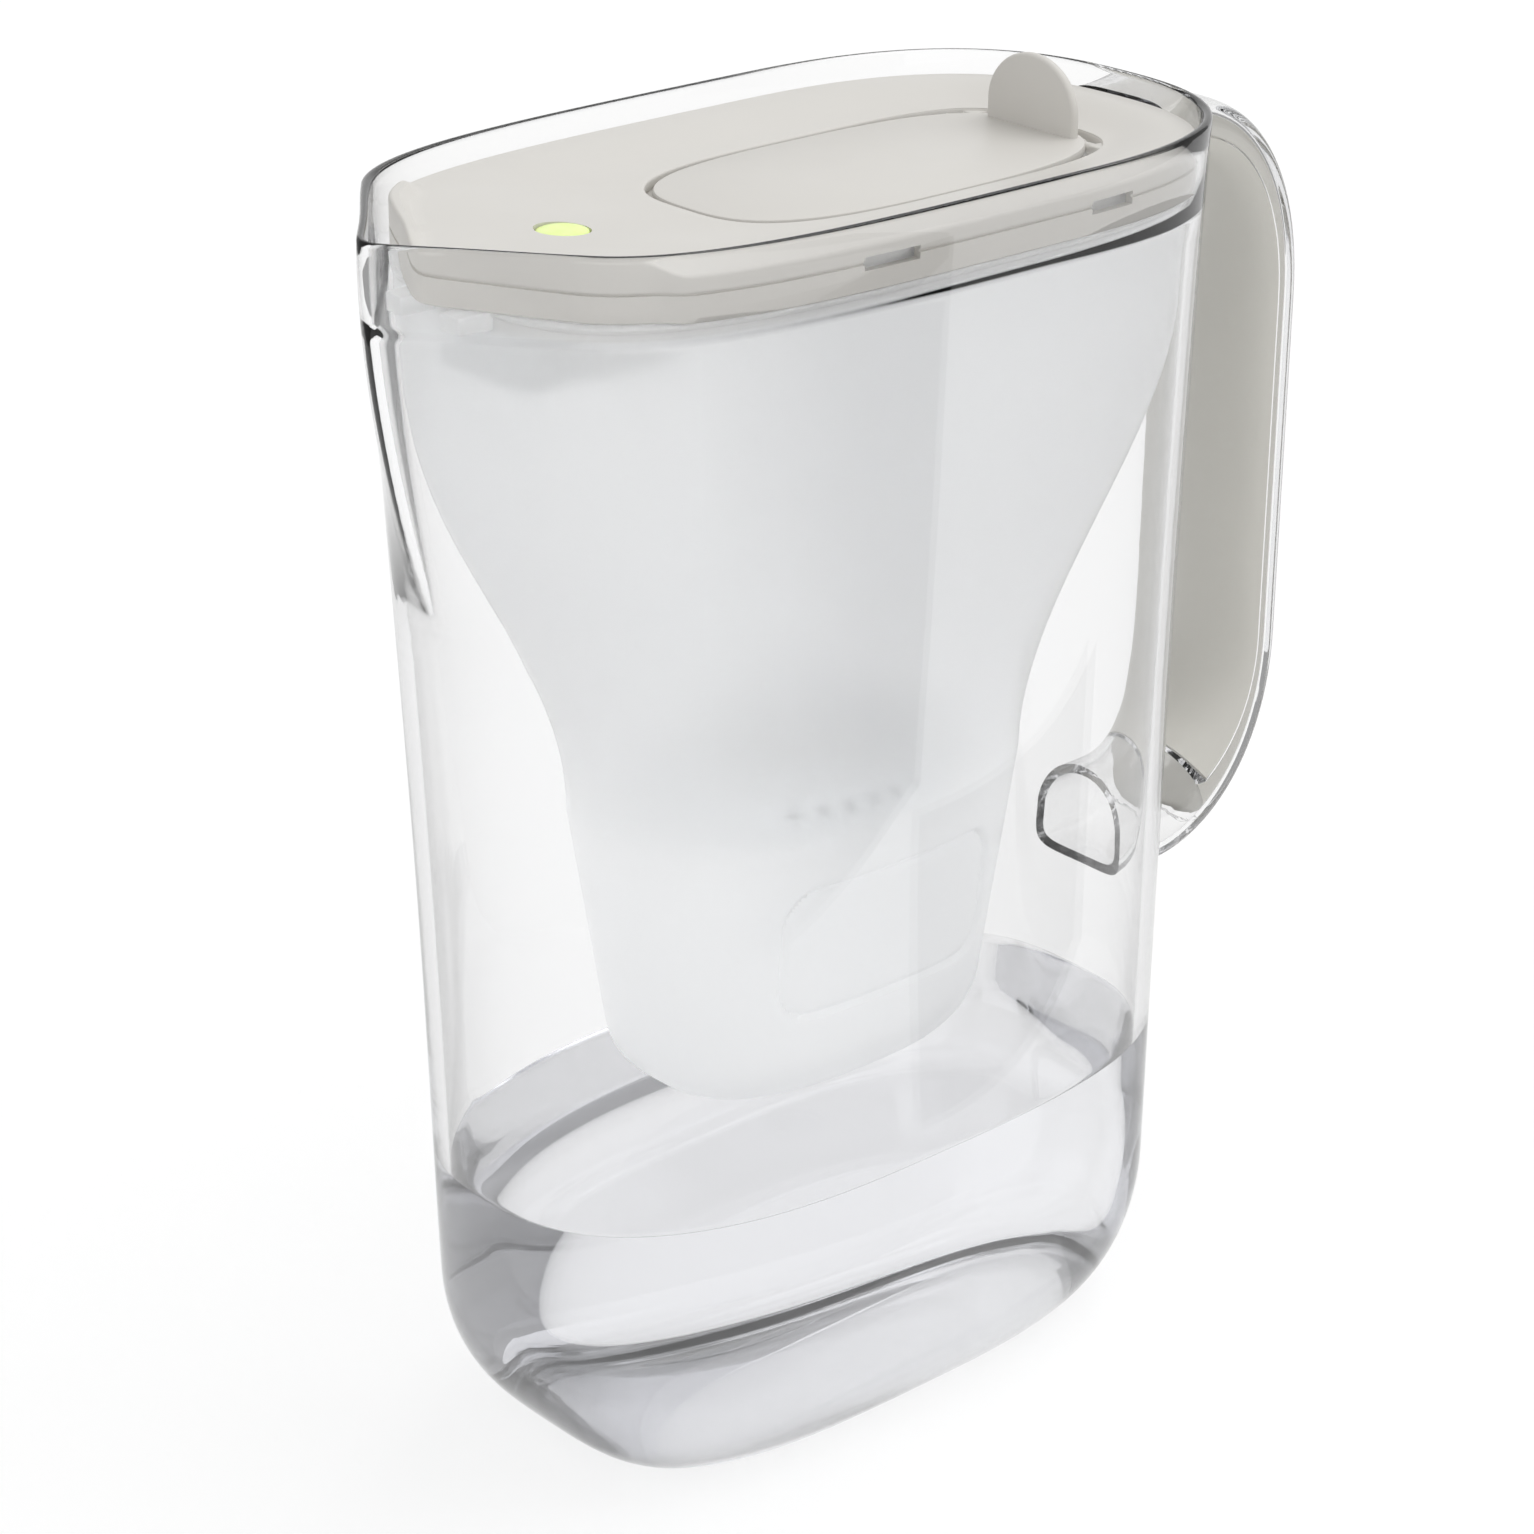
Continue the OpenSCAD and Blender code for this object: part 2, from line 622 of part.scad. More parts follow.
module rounded_rect(size, r) {
    square([size[0] - 2 * r, size[1]], center = true);
    square([size[0], size[1] - 2 * r], center = true);
    for (x = [-1, 1], y = [-1, 1])
        translate([x * (size[0] / 2 - r), y * (size[1] / 2 - r)]) circle(r);
}

module rounded_block(size, r, z0, z1) {
    translate([module_x, 0, z0]) linear_extrude(z1 - z0) rounded_rect(size, r);
}

module at_screws() {
    for (side = [-1, 1]) translate([module_x + side * column[0], side * column[1], 0]) children();
}

module indicator_housing() {
    bottom = cover_top + seal_t;
    inner = module_size - [2 * module_t, 2 * module_t];
    color([0.62, 0.63, 0.63]) difference() {
        union() {
            difference() {
                rounded_block(module_size, 3.5, bottom, module_top);
                rounded_block(inner, 2, bottom - 1, module_top - module_t);
            }
            at_screws() translate([0, 0, bottom]) cylinder(r = 2.5, h = 12);
            for (side = [-1, 1])
                translate([module_x + side * 13, -side * 9, board_z[1]])
                    cylinder(r = 1.6, h = module_top - board_z[1] - 0.5);
        }
        translate([dot_x, 0, module_top - 3]) cylinder(r = dot_r + 0.4, h = 5);
        at_screws() translate([0, 0, bottom - 1]) cylinder(r = screw_r + 0.04, h = 10);
    }
}

module indicator_cover() {
    ring_r = cell[0] + 0.3;
    color([0.55, 0.56, 0.56]) difference() {
        union() {
            rounded_block(module_size, 3.5, module_z, cover_top);
            translate([module_x, 0, module_z + 1]) cylinder(r = ring_r + 1.2, h = 5);
        }
        translate([module_x, 0, cover_top]) cylinder(r = ring_r, h = 9);
        at_screws() translate([0, 0, module_z - 1]) cylinder(r = screw_r + 0.2, h = 5);
        at_screws() translate([0, 0, module_z - 1]) cylinder(r = 2.1, h = 2.2);
    }
}

module cover_seal() {
    inner = module_size - [2 * module_t, 2 * module_t];
    color([0.3, 0.3, 0.3]) difference() {
        rounded_block(module_size - [0.6, 0.6], 3.2, cover_top, cover_top + seal_t);
        rounded_block(inner, 2, cover_top - 1, cover_top + 1);
    }
}

module cover_screws() {
    color([0.75, 0.76, 0.78]) at_screws() difference() {
        union() {
            translate([0, 0, module_z]) cylinder(r = 1.9, h = 1.2);
            translate([0, 0, module_z]) cylinder(r = screw_r, h = 8.6);
        }
        translate([0, 0, module_z - 1]) cylinder(r = 1, h = 1.6, $fn = 6);
    }
}

module circuit_board() {
    color([0.1, 0.4, 0.25]) difference() {
        rounded_block([33, 24], 1.5, board_z[0], board_z[1]);
        at_screws() translate([0, 0, board_z[0] - 1]) cylinder(r = 2.8, h = 4);
    }
}

module led() {
    color([0.95, 0.95, 0.8]) {
        translate([dot_x - 3.6, -1, board_z[1]]) cube([2, 2, 0.6]);
        translate([dot_x - 2.6, 0, board_z[1] + 0.6]) cylinder(r = 0.8, h = 0.4);
    }
}

module tact_switch() {
    color([0.2, 0.2, 0.22]) {
        translate([dot_x - 0.2, -1.8, board_z[1]]) cube([3.6, 3.6, 1]);
        translate([dot_x + 1.6, 0, board_z[1] + 1]) cylinder(r = 0.9, h = 0.45);
    }
}

module coin_cell() {
    color([0.8, 0.8, 0.82]) translate([module_x, 0, cell[2]]) union() {
        cylinder(r = cell[0] - 0.6, h = cell[1]);
        translate([0, 0, 0.4]) cylinder(r = cell[0], h = cell[1] - 0.4);
    }
}

// Contact strips below and above the cell, each with a leg up to the board
module battery_clips() {
    t = 0.3;
    leg_x = cell[0] + 2.2;
    low = cell[2] - t;
    high = cell[2] + cell[1];
    color([0.85, 0.8, 0.6]) {
        translate([module_x - 6, -2, low - 0.1]) cube([12, 4, t]);
        translate([module_x - leg_x, -2, high]) cube([leg_x + 5, 4, t]);
        translate([module_x - leg_x, -2, high]) cube([t, 4, board_z[0] - high]);
    }
}

module indicator_button() {
    low = button_flange[0];
    color([0.88, 0.98, 0.55]) translate([dot_x, 0, 0]) union() {
        translate([0, 0, low]) cylinder(r = dot_r + 1.2, h = button_flange[1] - low);
        translate([0, 0, low]) cylinder(r = dot_r, h = dot_z - 0.3 - low);
        translate([0, 0, dot_z - 0.3]) cylinder(r1 = dot_r, r2 = dot_r - 0.4, h = 0.5);
    }
}

// Silicone collar that lifts the button back and keeps water off the board
module button_membrane() {
    color([0.85, 0.85, 0.85]) translate([dot_x, 0, board_z[1]]) difference() {
        cylinder(r = dot_r + 1, h = button_flange[0] - board_z[1]);
        translate([0, 0, -1]) cylinder(r = dot_r - 0.4, h = 6);
    }
}

// ---- cartridge ------------------------------------------------------------------------------

function core_at(z) =
    let (s = (collar_z[0] - z) / (collar_z[0] - core_z))
    core_size - 2 * core_taper * s * [1, 1];
function core_ring(z, inset) = small_ring(core_at(z) - 2 * inset * [1, 1], z);
function small_ring(size, z) = [for (p = oval_outline(size, core_n)) [p[0], p[1], z]];

module cartridge_shell() {
    floor_z = core_z + core_t;
    shell = [
        core_ring(core_z, 1), core_ring(core_z + 1, 0), core_ring(collar_z[0], 0),
        small_ring(collar, collar_z[0]), small_ring(collar, collar_z[1]),
        core_ring(collar_z[1], core_t), core_ring(floor_z, core_t)
    ];
    color([0.96, 0.96, 0.96]) difference() {
        loft(shell);
        for (ring = [[0, 1], [11, 6]], i = [0:ring[1] - 1])
            rotate(360 * i / ring[1]) translate([ring[0], 0, core_z - 1]) cylinder(r = 2, h = 4);
    }
}

module cartridge_cap() {
    t = 1.3;
    z0 = collar_z[1] + 0.05;
    levels = [[z0, collar], [z0 + 8, collar - [2, 2]], [z0 + 13.5, collar - [12, 10]],
        [z0 + 16.5, collar - [30, 26]]];
    shell = concat(
        [for (l = levels) small_ring(l[1], l[0])],
        [for (l = reverse(levels)) small_ring(l[1] - 2 * t * [1, 1], l[0] - (l[0] == z0 ? 0 : t))]
    );
    color([0.94, 0.95, 0.96]) union() {
        difference() {
            loft_cap(shell);
            for (x = [-21:6:21]) translate([x - 1, -collar[1], z0 + 3]) cube([2, 2 * collar[1], 3]);
        }
        pull_ring(z0 + 16.2);
    }
}

// The cap's rings run up the outside and down the inside, with a flat roof between them
module loft_cap(shell) {
    half = len(shell) / 2;
    difference() {
        loft([for (i = [0:half - 1]) shell[i]]);
        loft(reverse([for (i = [half:2 * half - 1])
            [for (p = shell[i]) i == 2 * half - 1 ? p - [0, 0, 0.5] : p]]));
    }
}

module pull_ring(z) {
    difference() {
        translate([0, 0, z + 3]) rotate([90, 0, 0]) rotate_extrude() translate([8, 0]) circle(1.5);
        translate([-15, -5, z - 20]) cube([30, 10, 19.5]);
    }
}

module cartridge_seal() {
    color([0.75, 0.8, 0.85]) difference() {
        oval_prism(seat_hole - [0.5, 0.5], core_n, seat_z - shelf_t, collar_z[0]);
        oval_prism(core_size + [0.1, 0.1], core_n, seat_z - shelf_t - 1, collar_z[0] + 1);
    }
}

module top_screen() {
    color([0.9, 0.9, 0.9])
        oval_prism(core_size + [3, 3], core_n, collar_z[1] + 0.05, collar_z[1] + 0.5);
}

module base_screen() {
    color([0.9, 0.9, 0.9]) oval_prism(core_at(core_z) - [4, 4], core_n, core_z + core_t,
        core_z + core_t + 0.4);
}

module filter_media() {
    bottom = core_z + core_t + 0.5;
    top = collar_z[1] - 1;
    color([0.25, 0.25, 0.26])
        loft([core_ring(bottom, core_t + 0.3), core_ring(top, core_t + 0.3)]);
}

jug_body();
handle_grip();
hopper_cup();
hopper_funnel();
hopper_rim();
lid_shell();
flap();
indicator_housing();
indicator_cover();
cover_seal();
cover_screws();
circuit_board();
led();
tact_switch();
coin_cell();
battery_clips();
indicator_button();
button_membrane();
cartridge_shell();
cartridge_cap();
cartridge_seal();
top_screen();
base_screen();
filter_media();
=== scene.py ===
import json
import math

import bmesh
import bpy
import numpy as np
from mathutils import Matrix, Vector


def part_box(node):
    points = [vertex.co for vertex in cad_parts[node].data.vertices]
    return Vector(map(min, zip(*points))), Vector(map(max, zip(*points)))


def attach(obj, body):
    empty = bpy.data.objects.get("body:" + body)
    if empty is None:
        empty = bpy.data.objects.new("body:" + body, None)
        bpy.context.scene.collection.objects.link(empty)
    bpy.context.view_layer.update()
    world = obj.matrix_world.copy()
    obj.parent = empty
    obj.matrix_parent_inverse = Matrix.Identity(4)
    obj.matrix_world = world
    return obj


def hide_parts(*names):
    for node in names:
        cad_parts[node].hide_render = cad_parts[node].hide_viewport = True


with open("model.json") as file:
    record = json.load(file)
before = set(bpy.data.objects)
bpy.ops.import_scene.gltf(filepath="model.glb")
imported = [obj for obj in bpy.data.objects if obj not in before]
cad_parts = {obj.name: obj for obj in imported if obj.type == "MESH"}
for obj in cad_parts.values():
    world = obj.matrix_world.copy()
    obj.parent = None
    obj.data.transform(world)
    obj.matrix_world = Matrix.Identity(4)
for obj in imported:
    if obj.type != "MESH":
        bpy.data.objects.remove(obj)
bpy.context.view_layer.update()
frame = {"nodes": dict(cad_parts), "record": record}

MM = 0.001  # shapes are worked out in millimetres and built in metres


def span(node):
    """Lowest and highest corner of a CAD node, in millimetres."""
    low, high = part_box(node)
    return np.array(low) / MM, np.array(high) / MM


# ---- driving sizes, in millimetres ------------------------------------------------------------

jug_high = span("jug_body")[1]
cup_low = span("hopper_cup")[0]
lid_low, lid_high = span("lid_shell")
flap_high = span("flap")[1]

# Jug. Where a value has three figures, they hold at the table, at WAIST_Z and at the rim.
JUG_H = jug_high[2]
WAIST_Z = 140
FRONT_X = (-78, -93, -91)
BACK_X = (90.3, 91, 93.8)
HALF_W = (50.5, 48, 52)
MID_X = (12, -9.6, 27.4)
FRONT_N = (3.6, 2.25, 4)
BACK_N = (2.55, 3.25, 2.54)
WALL = 3
RIM_WALL = 2
LEDGE_Z = 261
LEDGE_BLEND = 3.8  # height over which the wall's inner face thickens below the ledge
FLOOR_T = 4
FOOT_R = 17.5
FOOT_H = 33
SPOUT_LEN = 19
SPOUT_DROP = 85
SPOUT_HALF = 30
TIP_R = 4

# Handle. GRIP_END is a place along it: 0 to 1 is the top bend, 1 to 2 straight, 2 to 3 the lower bend.
GRIP_X = 138.3
GRIP_IN_X = 125.3
BEND_X = 98
BEND_Z = (141, 221)
HANDLE_Z = (91, 272)
FINGER_Z = (115, 256)
HANDLE_W = 29
HANDLE_WALL = 2.2
DEE_WAIST = 0.36
SPLIT_U = 0.5
GRIP_GAP = 0.15
GRIP_END = 2.74

# Hopper
CUP_Z = 140
SHOULDER_Z = 240
CUP_BOTTOM = cup_low[2]
CUP_X = (-54.5, 52.8)
CUP_HALF = 31.5
CUP_TAPER = (11.5, 5)
CUP_ROUND = 13
HOPPER_T = 1.8
HOPPER_INSET = WALL + 0.9
FLANGE_Z = (LEDGE_Z + 0.3, LEDGE_Z + 1.5)
SEAT_Z = 136
SHELF_T = 2
SEAT_HOLE = (60, 46)

# Lid and flap
LID_Z = lid_high[2]
LID_DISH = 2.8
LID_T = 1.8
LID_NOSE = 10
LID_INSET = RIM_WALL + 0.5
SKIRT_Z = FLANGE_Z[1] + 0.3
SKIRT_GROOVE_Z = (268.2, 268.9)
SKIRT_GROOVE_DEPTH = 0.5
UPSTAND_INSET = LID_INSET + LID_T + 0.3
UPSTAND_TOP = LID_Z - LID_T - 0.6
UPSTAND_DRAFT = 1
UPSTAND_T = 1
PLUG_Z = lid_low[2]
PLUG_T = 1.2
PLUG_INSET = (8, 7)
FLAP_Z = LID_Z - LID_DISH
FLAP_T = 2.2
FLAP_X = 19.5
FLAP_SIZE = (101, 50)
FLAP_N = 3
HOLE_X = 19.8
HOLE_SIZE = (103.2, 51.6)
HOLE_N = (3.3, 4)
HINGE = (67.2, FLAP_Z - FLAP_T)
PIN_R = 1.5
PIN_END = 20.1
PIN_PLAY = 0.06
BOSS_X = (-2.3, 2.6)  # from the hinge's axis
BOSS_Y = (16.9, 21)
BOSS_DROP = 2.86
BORE_Y = (15.6, 20.4)
BARREL = (1.9, 13.2)
TAB_X = (64.4, 66.6)
TAB_W = 25.6
TAB_TOP = flap_high[2]
WINDOW_X = ((-29, -15), (32, 44))
WINDOW_Z = (UPSTAND_TOP - 2.6, UPSTAND_TOP + 0.1)

# Indicator
DOT_X = -62.5
DOT_R = 5.3
MODULE_X = -63.5
MODULE_SIZE = (38, 29)
COLLAR_T = 1.4
COLLAR_GAP = 0.2
COLLAR_Z = (265, 268.7, 270.6)  # its foot, and its top at the back and at the front
DOT_GAP = 0.4
BUTTON_LOW = 264.6
BUTTON_FLANGE = (1.2, 0.9)  # its reach and its height

WATER_Z = 65


# ---- outlines ---------------------------------------------------------------------------------


def along(v, z):
    """A value that passes through its figures at the table, at WAIST_Z and at the rim."""
    return (
        v[0] * (z - WAIST_Z) * (z - JUG_H) / (WAIST_Z * JUG_H)
        + v[1] * z * (z - JUG_H) / (WAIST_Z * (WAIST_Z - JUG_H))
        + v[2] * z * (z - WAIST_Z) / (JUG_H * (JUG_H - WAIST_Z))
    )


def smooth(t):
    s = np.clip(t, 0, 1)
    return s * s * (3 - 2 * s)


def mix(a, b, s):
    return a + (b - a) * s


def bearings(count, bias):
    """Angles round an outline. bias draws them closer together at the spout."""
    turn = 2 * math.pi * np.arange(count) / count - math.pi
    return math.pi + turn - bias * np.sin(turn)


def oval(angles, mid, front, back, half, front_n, back_n):
    """A squared oval whose front and back halves differ."""
    c, s = np.cos(angles), np.sin(angles)
    a = np.where(c < 0, mid - front, back - mid)
    n = np.where(c < 0, front_n, back_n)
    r = ((np.abs(c) / a) ** n + np.abs(s / half) ** n) ** (-1 / n)
    return np.stack([mid + r * c, r * s], 1)


def ring(points, z):
    """Flat points lifted to height z, which is one number or one a point."""
    return np.column_stack([points, np.broadcast_to(z, len(points))])


def foot_inset(z):
    if z >= FOOT_H:
        return 0.0
    return FOOT_R * (1 - math.sqrt(max(0.0, 1 - (1 - z / FOOT_H) ** 2)))


def spout_at(z):
    if z <= JUG_H - SPOUT_DROP:
        return 0.0
    return SPOUT_LEN * (1 - ((JUG_H - z) / SPOUT_DROP) ** 1.6)


def spout_shape(y, reach):
    half = SPOUT_HALF * (0.55 + 0.45 * reach / SPOUT_LEN)
    u = (np.sqrt(y * y + TIP_R * TIP_R) - TIP_R) / half
    return np.clip(1 - u, 0, 1) ** 1.6


def jug_outline(angles, z, inset, reach):
    points = oval(angles, along(MID_X, z), along(FRONT_X, z) + inset, along(BACK_X, z) - inset,
                  along(HALF_W, z) - inset, along(FRONT_N, z), along(BACK_N, z))
    beak = np.where(points[:, 0] < along(MID_X, z), reach * spout_shape(points[:, 1], reach), 0)
    points[:, 0] -= beak
    return points


def jug_ring(angles, z, inset, reach):
    return ring(jug_outline(angles, z, inset, reach), z)


def small_oval(angles, mid, size, n):
    half = size[0] / 2
    front_n, back_n = n if isinstance(n, tuple) else (n, n)
    return oval(angles, mid, mid - half, mid + half, size[1] / 2, front_n, back_n)


# ---- mesh building ----------------------------------------------------------------------------


def add_mesh(name, points, faces, crease=35):
    """A mesh object from points in millimetres, smooth except where faces meet past crease degrees."""
    mesh = bpy.data.meshes.new(name)
    mesh.from_pydata((np.asarray(points) * MM).tolist(), [], faces)
    obj = bpy.data.objects.new(name, mesh)
    bpy.context.scene.collection.objects.link(obj)
    tidy(obj, crease)
    return obj


def tidy(obj, crease=35):
    """Merges doubled points, turns the faces outward and sets the shading."""
    bm = bmesh.new()
    bm.from_mesh(obj.data)
    bmesh.ops.remove_doubles(bm, verts=bm.verts, dist=1e-6)
    bmesh.ops.dissolve_degenerate(bm, edges=bm.edges, dist=1e-7)
    bmesh.ops.recalc_face_normals(bm, faces=bm.faces)
    bm.to_mesh(obj.data)
    bm.free()
    obj.data.shade_smooth()
    obj.data.set_sharp_from_angle(angle=math.radians(crease))


def loft(name, rings, ends="flat", crease=35):
    """A closed skin through rings of equal length. ends is flat, or joined where the last ring meets
    the first."""
    n, m = len(rings[0]), len(rings)
    last = m if ends == "joined" else m - 1
    faces = [
        (i * n + k, ((i + 1) % m) * n + k, ((i + 1) % m) * n + (k + 1) % n, i * n + (k + 1) % n)
        for i in range(last)
        for k in range(n)
    ]
    if ends == "flat":
        faces.append(tuple(range(n)))
        faces.append(tuple(reversed(range((m - 1) * n, m * n))))
    return add_mesh(name, np.vstack(rings), faces, crease)


def apply_modifier(obj, modifier):
    with bpy.context.temp_override(object=obj, active_object=obj):
        bpy.ops.object.modifier_apply(modifier=modifier.name)


def cut(obj, others, operation, crease=35):
    """Unites, subtracts or intersects other closed meshes with obj, and removes them."""
    for other in others:
        modifier = obj.modifiers.new("cut", "BOOLEAN")
        modifier.operation = operation
        modifier.solver = "MANIFOLD"
        modifier.object = other
        apply_modifier(obj, modifier)
        bpy.data.objects.remove(other)
    tidy(obj, crease)
    return obj


def join(obj, others):
    """Joins other meshes into obj as separate shells."""
    bm = bmesh.new()
    bm.from_mesh(obj.data)
    for other in others:
        bm.from_mesh(other.data)
        bpy.data.objects.remove(other)
    bm.to_mesh(obj.data)
    bm.free()
    return obj


def bevel(obj, width, segments=3, angle=35):
    modifier = obj.modifiers.new("bevel", "BEVEL")
    modifier.width = width * MM
    modifier.segments = segments
    modifier.limit_method = "ANGLE"
    modifier.angle_limit = math.radians(angle)
    modifier.harden_normals = False
    apply_modifier(obj, modifier)
    tidy(obj)
    return obj


def block(name, low, high, radius=0.0):
    """A box from corner to corner, with rounded edges."""
    x, y, z = zip(low, high)
    points = [(a, b, c) for a in x for b in y for c in z]
    faces = [(0, 1, 3, 2), (4, 6, 7, 5), (0, 4, 5, 1), (2, 3, 7, 6), (0, 2, 6, 4), (1, 5, 7, 3)]
    obj = add_mesh(name, points, faces)
    return bevel(obj, radius) if radius else obj


def turned(name, profile, centre, axis="z", count=64, crease=35):
    """A turned piece. profile is a list of (radius, height) that starts and ends on the axis."""
    angles = 2 * math.pi * np.arange(count) / count
    rings = []
    for radius, height in profile:
        r = max(radius, 1e-4)
        flat = np.column_stack([r * np.cos(angles), r * np.sin(angles), np.full(count, height)])
        if axis == "y":
            flat = flat[:, [0, 2, 1]]
        rings.append(flat + np.array(centre))
    return loft(name, rings, "flat", crease)


# ---- jug --------------------------------------------------------------------------------------

JUG_SIDES = 288
JUG_ANGLES = bearings(JUG_SIDES, 0.6)


def body_levels(low, high, foot=16, body=44):
    curve = [low + (FOOT_H - low) * (1 - math.cos(math.pi / 2 * i / foot)) for i in range(foot)]
    return curve + [mix(FOOT_H, high, i / (body - 1)) for i in range(body)]


def inner_ring(z, proud=0.0):
    """The inside of the jug's wall below the ledge. proud pushes the ring into the wall."""
    inset = WALL - proud
    if z < FOOT_H:
        inset += foot_inset(FOOT_H * max(0.0, z - FLOOR_T) / (FOOT_H - FLOOR_T))
    return jug_ring(JUG_ANGLES, z, inset, spout_at(z))


def jug_wall():
    lip = 1.0
    rings = [jug_ring(JUG_ANGLES, z, foot_inset(z), spout_at(z)) for z in body_levels(0, JUG_H - lip)]
    for a in np.linspace(20, 160, 8):
        inset = RIM_WALL / 2 - lip * math.cos(math.radians(a))
        z = JUG_H - lip + lip * math.sin(math.radians(a))
        rings.append(jug_ring(JUG_ANGLES, z, inset, spout_at(JUG_H - lip)))
    for z in (JUG_H - lip, JUG_H - 6, LEDGE_Z + 5):
        rings.append(jug_ring(JUG_ANGLES, z, RIM_WALL, spout_at(z)))
    for s in np.linspace(0, 1, 11):
        z = LEDGE_Z + 0.3 - LEDGE_BLEND * s
        rings.append(jug_ring(JUG_ANGLES, z, mix(RIM_WALL, WALL, smooth(s)), spout_at(z)))
    rings += [inner_ring(z) for z in reversed(body_levels(FLOOR_T, LEDGE_Z - 4))]
    return loft("jug_clear_body", rings, "flat", 30)


def edge_point(x, low, high, t):
    """Point on a bent edge of the handle at t, which runs along it as GRIP_END does."""
    n = 2.15
    if 1 <= t <= 2:
        return np.array([x, mix(BEND_Z[1], BEND_Z[0], t - 1)])
    a = math.radians(90 * (1 - t) if t < 1 else 90 * (t - 2))
    bent = mix(BEND_X, x, max(0.0, math.cos(a)) ** (2 / n))
    rise = max(0.0, math.sin(a)) ** (2 / n)
    return np.array([bent, mix(BEND_Z[1], high, rise) if t < 1 else mix(BEND_Z[0], low, rise)])


def back_edge(t):
    return edge_point(GRIP_X, HANDLE_Z[0], HANDLE_Z[1], t)


def finger_edge(t):
    return edge_point(GRIP_IN_X, FINGER_Z[0], FINGER_Z[1], t)


def depth_at(t):
    return float(np.linalg.norm(back_edge(t) - finger_edge(t)))


def place(t, outline, root=None):
    """The section's (u, y) points set across the handle at t, which is one number or one a point."""
    ts = np.broadcast_to(t, len(outline))
    out = []
    for tk, (u, y) in zip(ts, outline):
        p = mix(back_edge(tk), finger_edge(tk), u)
        shift = 0 if root is None else root - BEND_X
        out.append((p[0] + shift, y, p[1]))
    return np.array(out)


def dee_point(a, skin, depth):
    """Point of the D-shaped section at angle a: flat at the back, arched on the finger side."""
    s, c = math.sin(a), math.cos(a)
    n = 2.1 if s > 0 else 5
    arm = (1 - DEE_WAIST if s > 0 else DEE_WAIST) - skin / depth
    u = DEE_WAIST + arm * math.copysign(abs(s) ** (2 / n), s)
    return u, (HANDLE_W / 2 - skin) * math.copysign(abs(c) ** (2 / n), c)


def dee_arch(skin, depth, low, steps):
    start = math.asin(((low - DEE_WAIST) / (1 - DEE_WAIST - skin / depth)) ** 1.05)
    return [dee_point(a, skin, depth) for a in np.linspace(start, math.pi - start, steps + 1)]


def dee_back(skin, depth, steps):
    return [dee_point(math.pi * (1 + (k + 0.5) / steps), skin, depth) for k in range(steps)]


ARCH_STEPS = 28
BACK_STEPS = 36


def channel_outline(depth):
    """The clear channel's C-shaped section, out along its outer face and back along its inner one."""
    def face(skin):
        arch = dee_arch(skin, depth, SPLIT_U, ARCH_STEPS)
        return [arch[-1]] + dee_back(skin, depth, BACK_STEPS) + [arch[0]]
    return face(0) + face(HANDLE_WALL)[::-1]


def tube_outline(skin, depth):
    return dee_arch(skin, depth, SPLIT_U, ARCH_STEPS) + dee_back(skin, depth, BACK_STEPS)


def grip_outline(depth):
    low = SPLIT_U + GRIP_GAP / depth
    skin = HANDLE_WALL + GRIP_GAP
    core = dee_arch(skin, depth, low, ARCH_STEPS)
    back = dee_back(skin, depth, BACK_STEPS)
    half = BACK_STEPS // 2
    arch = dee_arch(0, depth, low + 0.01, ARCH_STEPS)
    return back[half:] + [core[0]] + arch + [core[-1]] + back[:half]


CHANNEL_T = np.concatenate([
    np.linspace(0, 1, 25), np.linspace(1.125, 1.875, 7), np.linspace(2, GRIP_END, 22),
])


def end_bow(outline, reach=0.1):
    """How far each point of the grip's rounded end falls short along the handle."""
    y = np.array([p[1] for p in outline]) / (HANDLE_W / 2)
    return reach * (1 - np.sqrt(np.clip(1 - y * y, 0, 1)))


def handle_channel():
    root = 91.9
    rings = [place(0, channel_outline(depth_at(0)), root)]
    rings += [place(t, channel_outline(depth_at(t))) for t in CHANNEL_T]
    return loft("channel", rings, "flat", 30)


def handle_socket():
    """The closed, hollow stretch below the grip, whose mouth follows the grip's rounded end."""
    root = 88.4
    steps = np.linspace(0, 1, 18)

    def side(skin):
        out = []
        for s in steps:
            t = mix(GRIP_END, 3, s)
            outline = tube_outline(skin, depth_at(t))
            arch = np.array([u > SPLIT_U - 0.02 for u, _ in outline])
            out.append(place(t - (1 - s) * np.where(arch, end_bow(outline), 0), outline))
        out.append(place(3, tube_outline(skin, depth_at(3)), root))
        return out
    return loft("socket", side(HANDLE_WALL) + side(0)[::-1], "joined", 30)


def handle_grip():
    top = 94.4
    sections = [place(0, grip_outline(depth_at(0)), top)]
    full = [t for t in CHANNEL_T if t < GRIP_END - 0.12]
    sections += [place(t, grip_outline(depth_at(t))) for t in full]
    for s in np.linspace(0.15, 1, 8):
        t = mix(full[-1], GRIP_END - 0.012, s)
        outline = grip_outline(depth_at(t))
        sections.append(place(t - s * end_bow(outline), outline))
    return loft("handle_grip_insert", sections, "flat", 40)


# ---- hopper -----------------------------------------------------------------------------------

HOPPER_SIDES = 400
HOPPER_ANGLES = bearings(HOPPER_SIDES, 0.0)


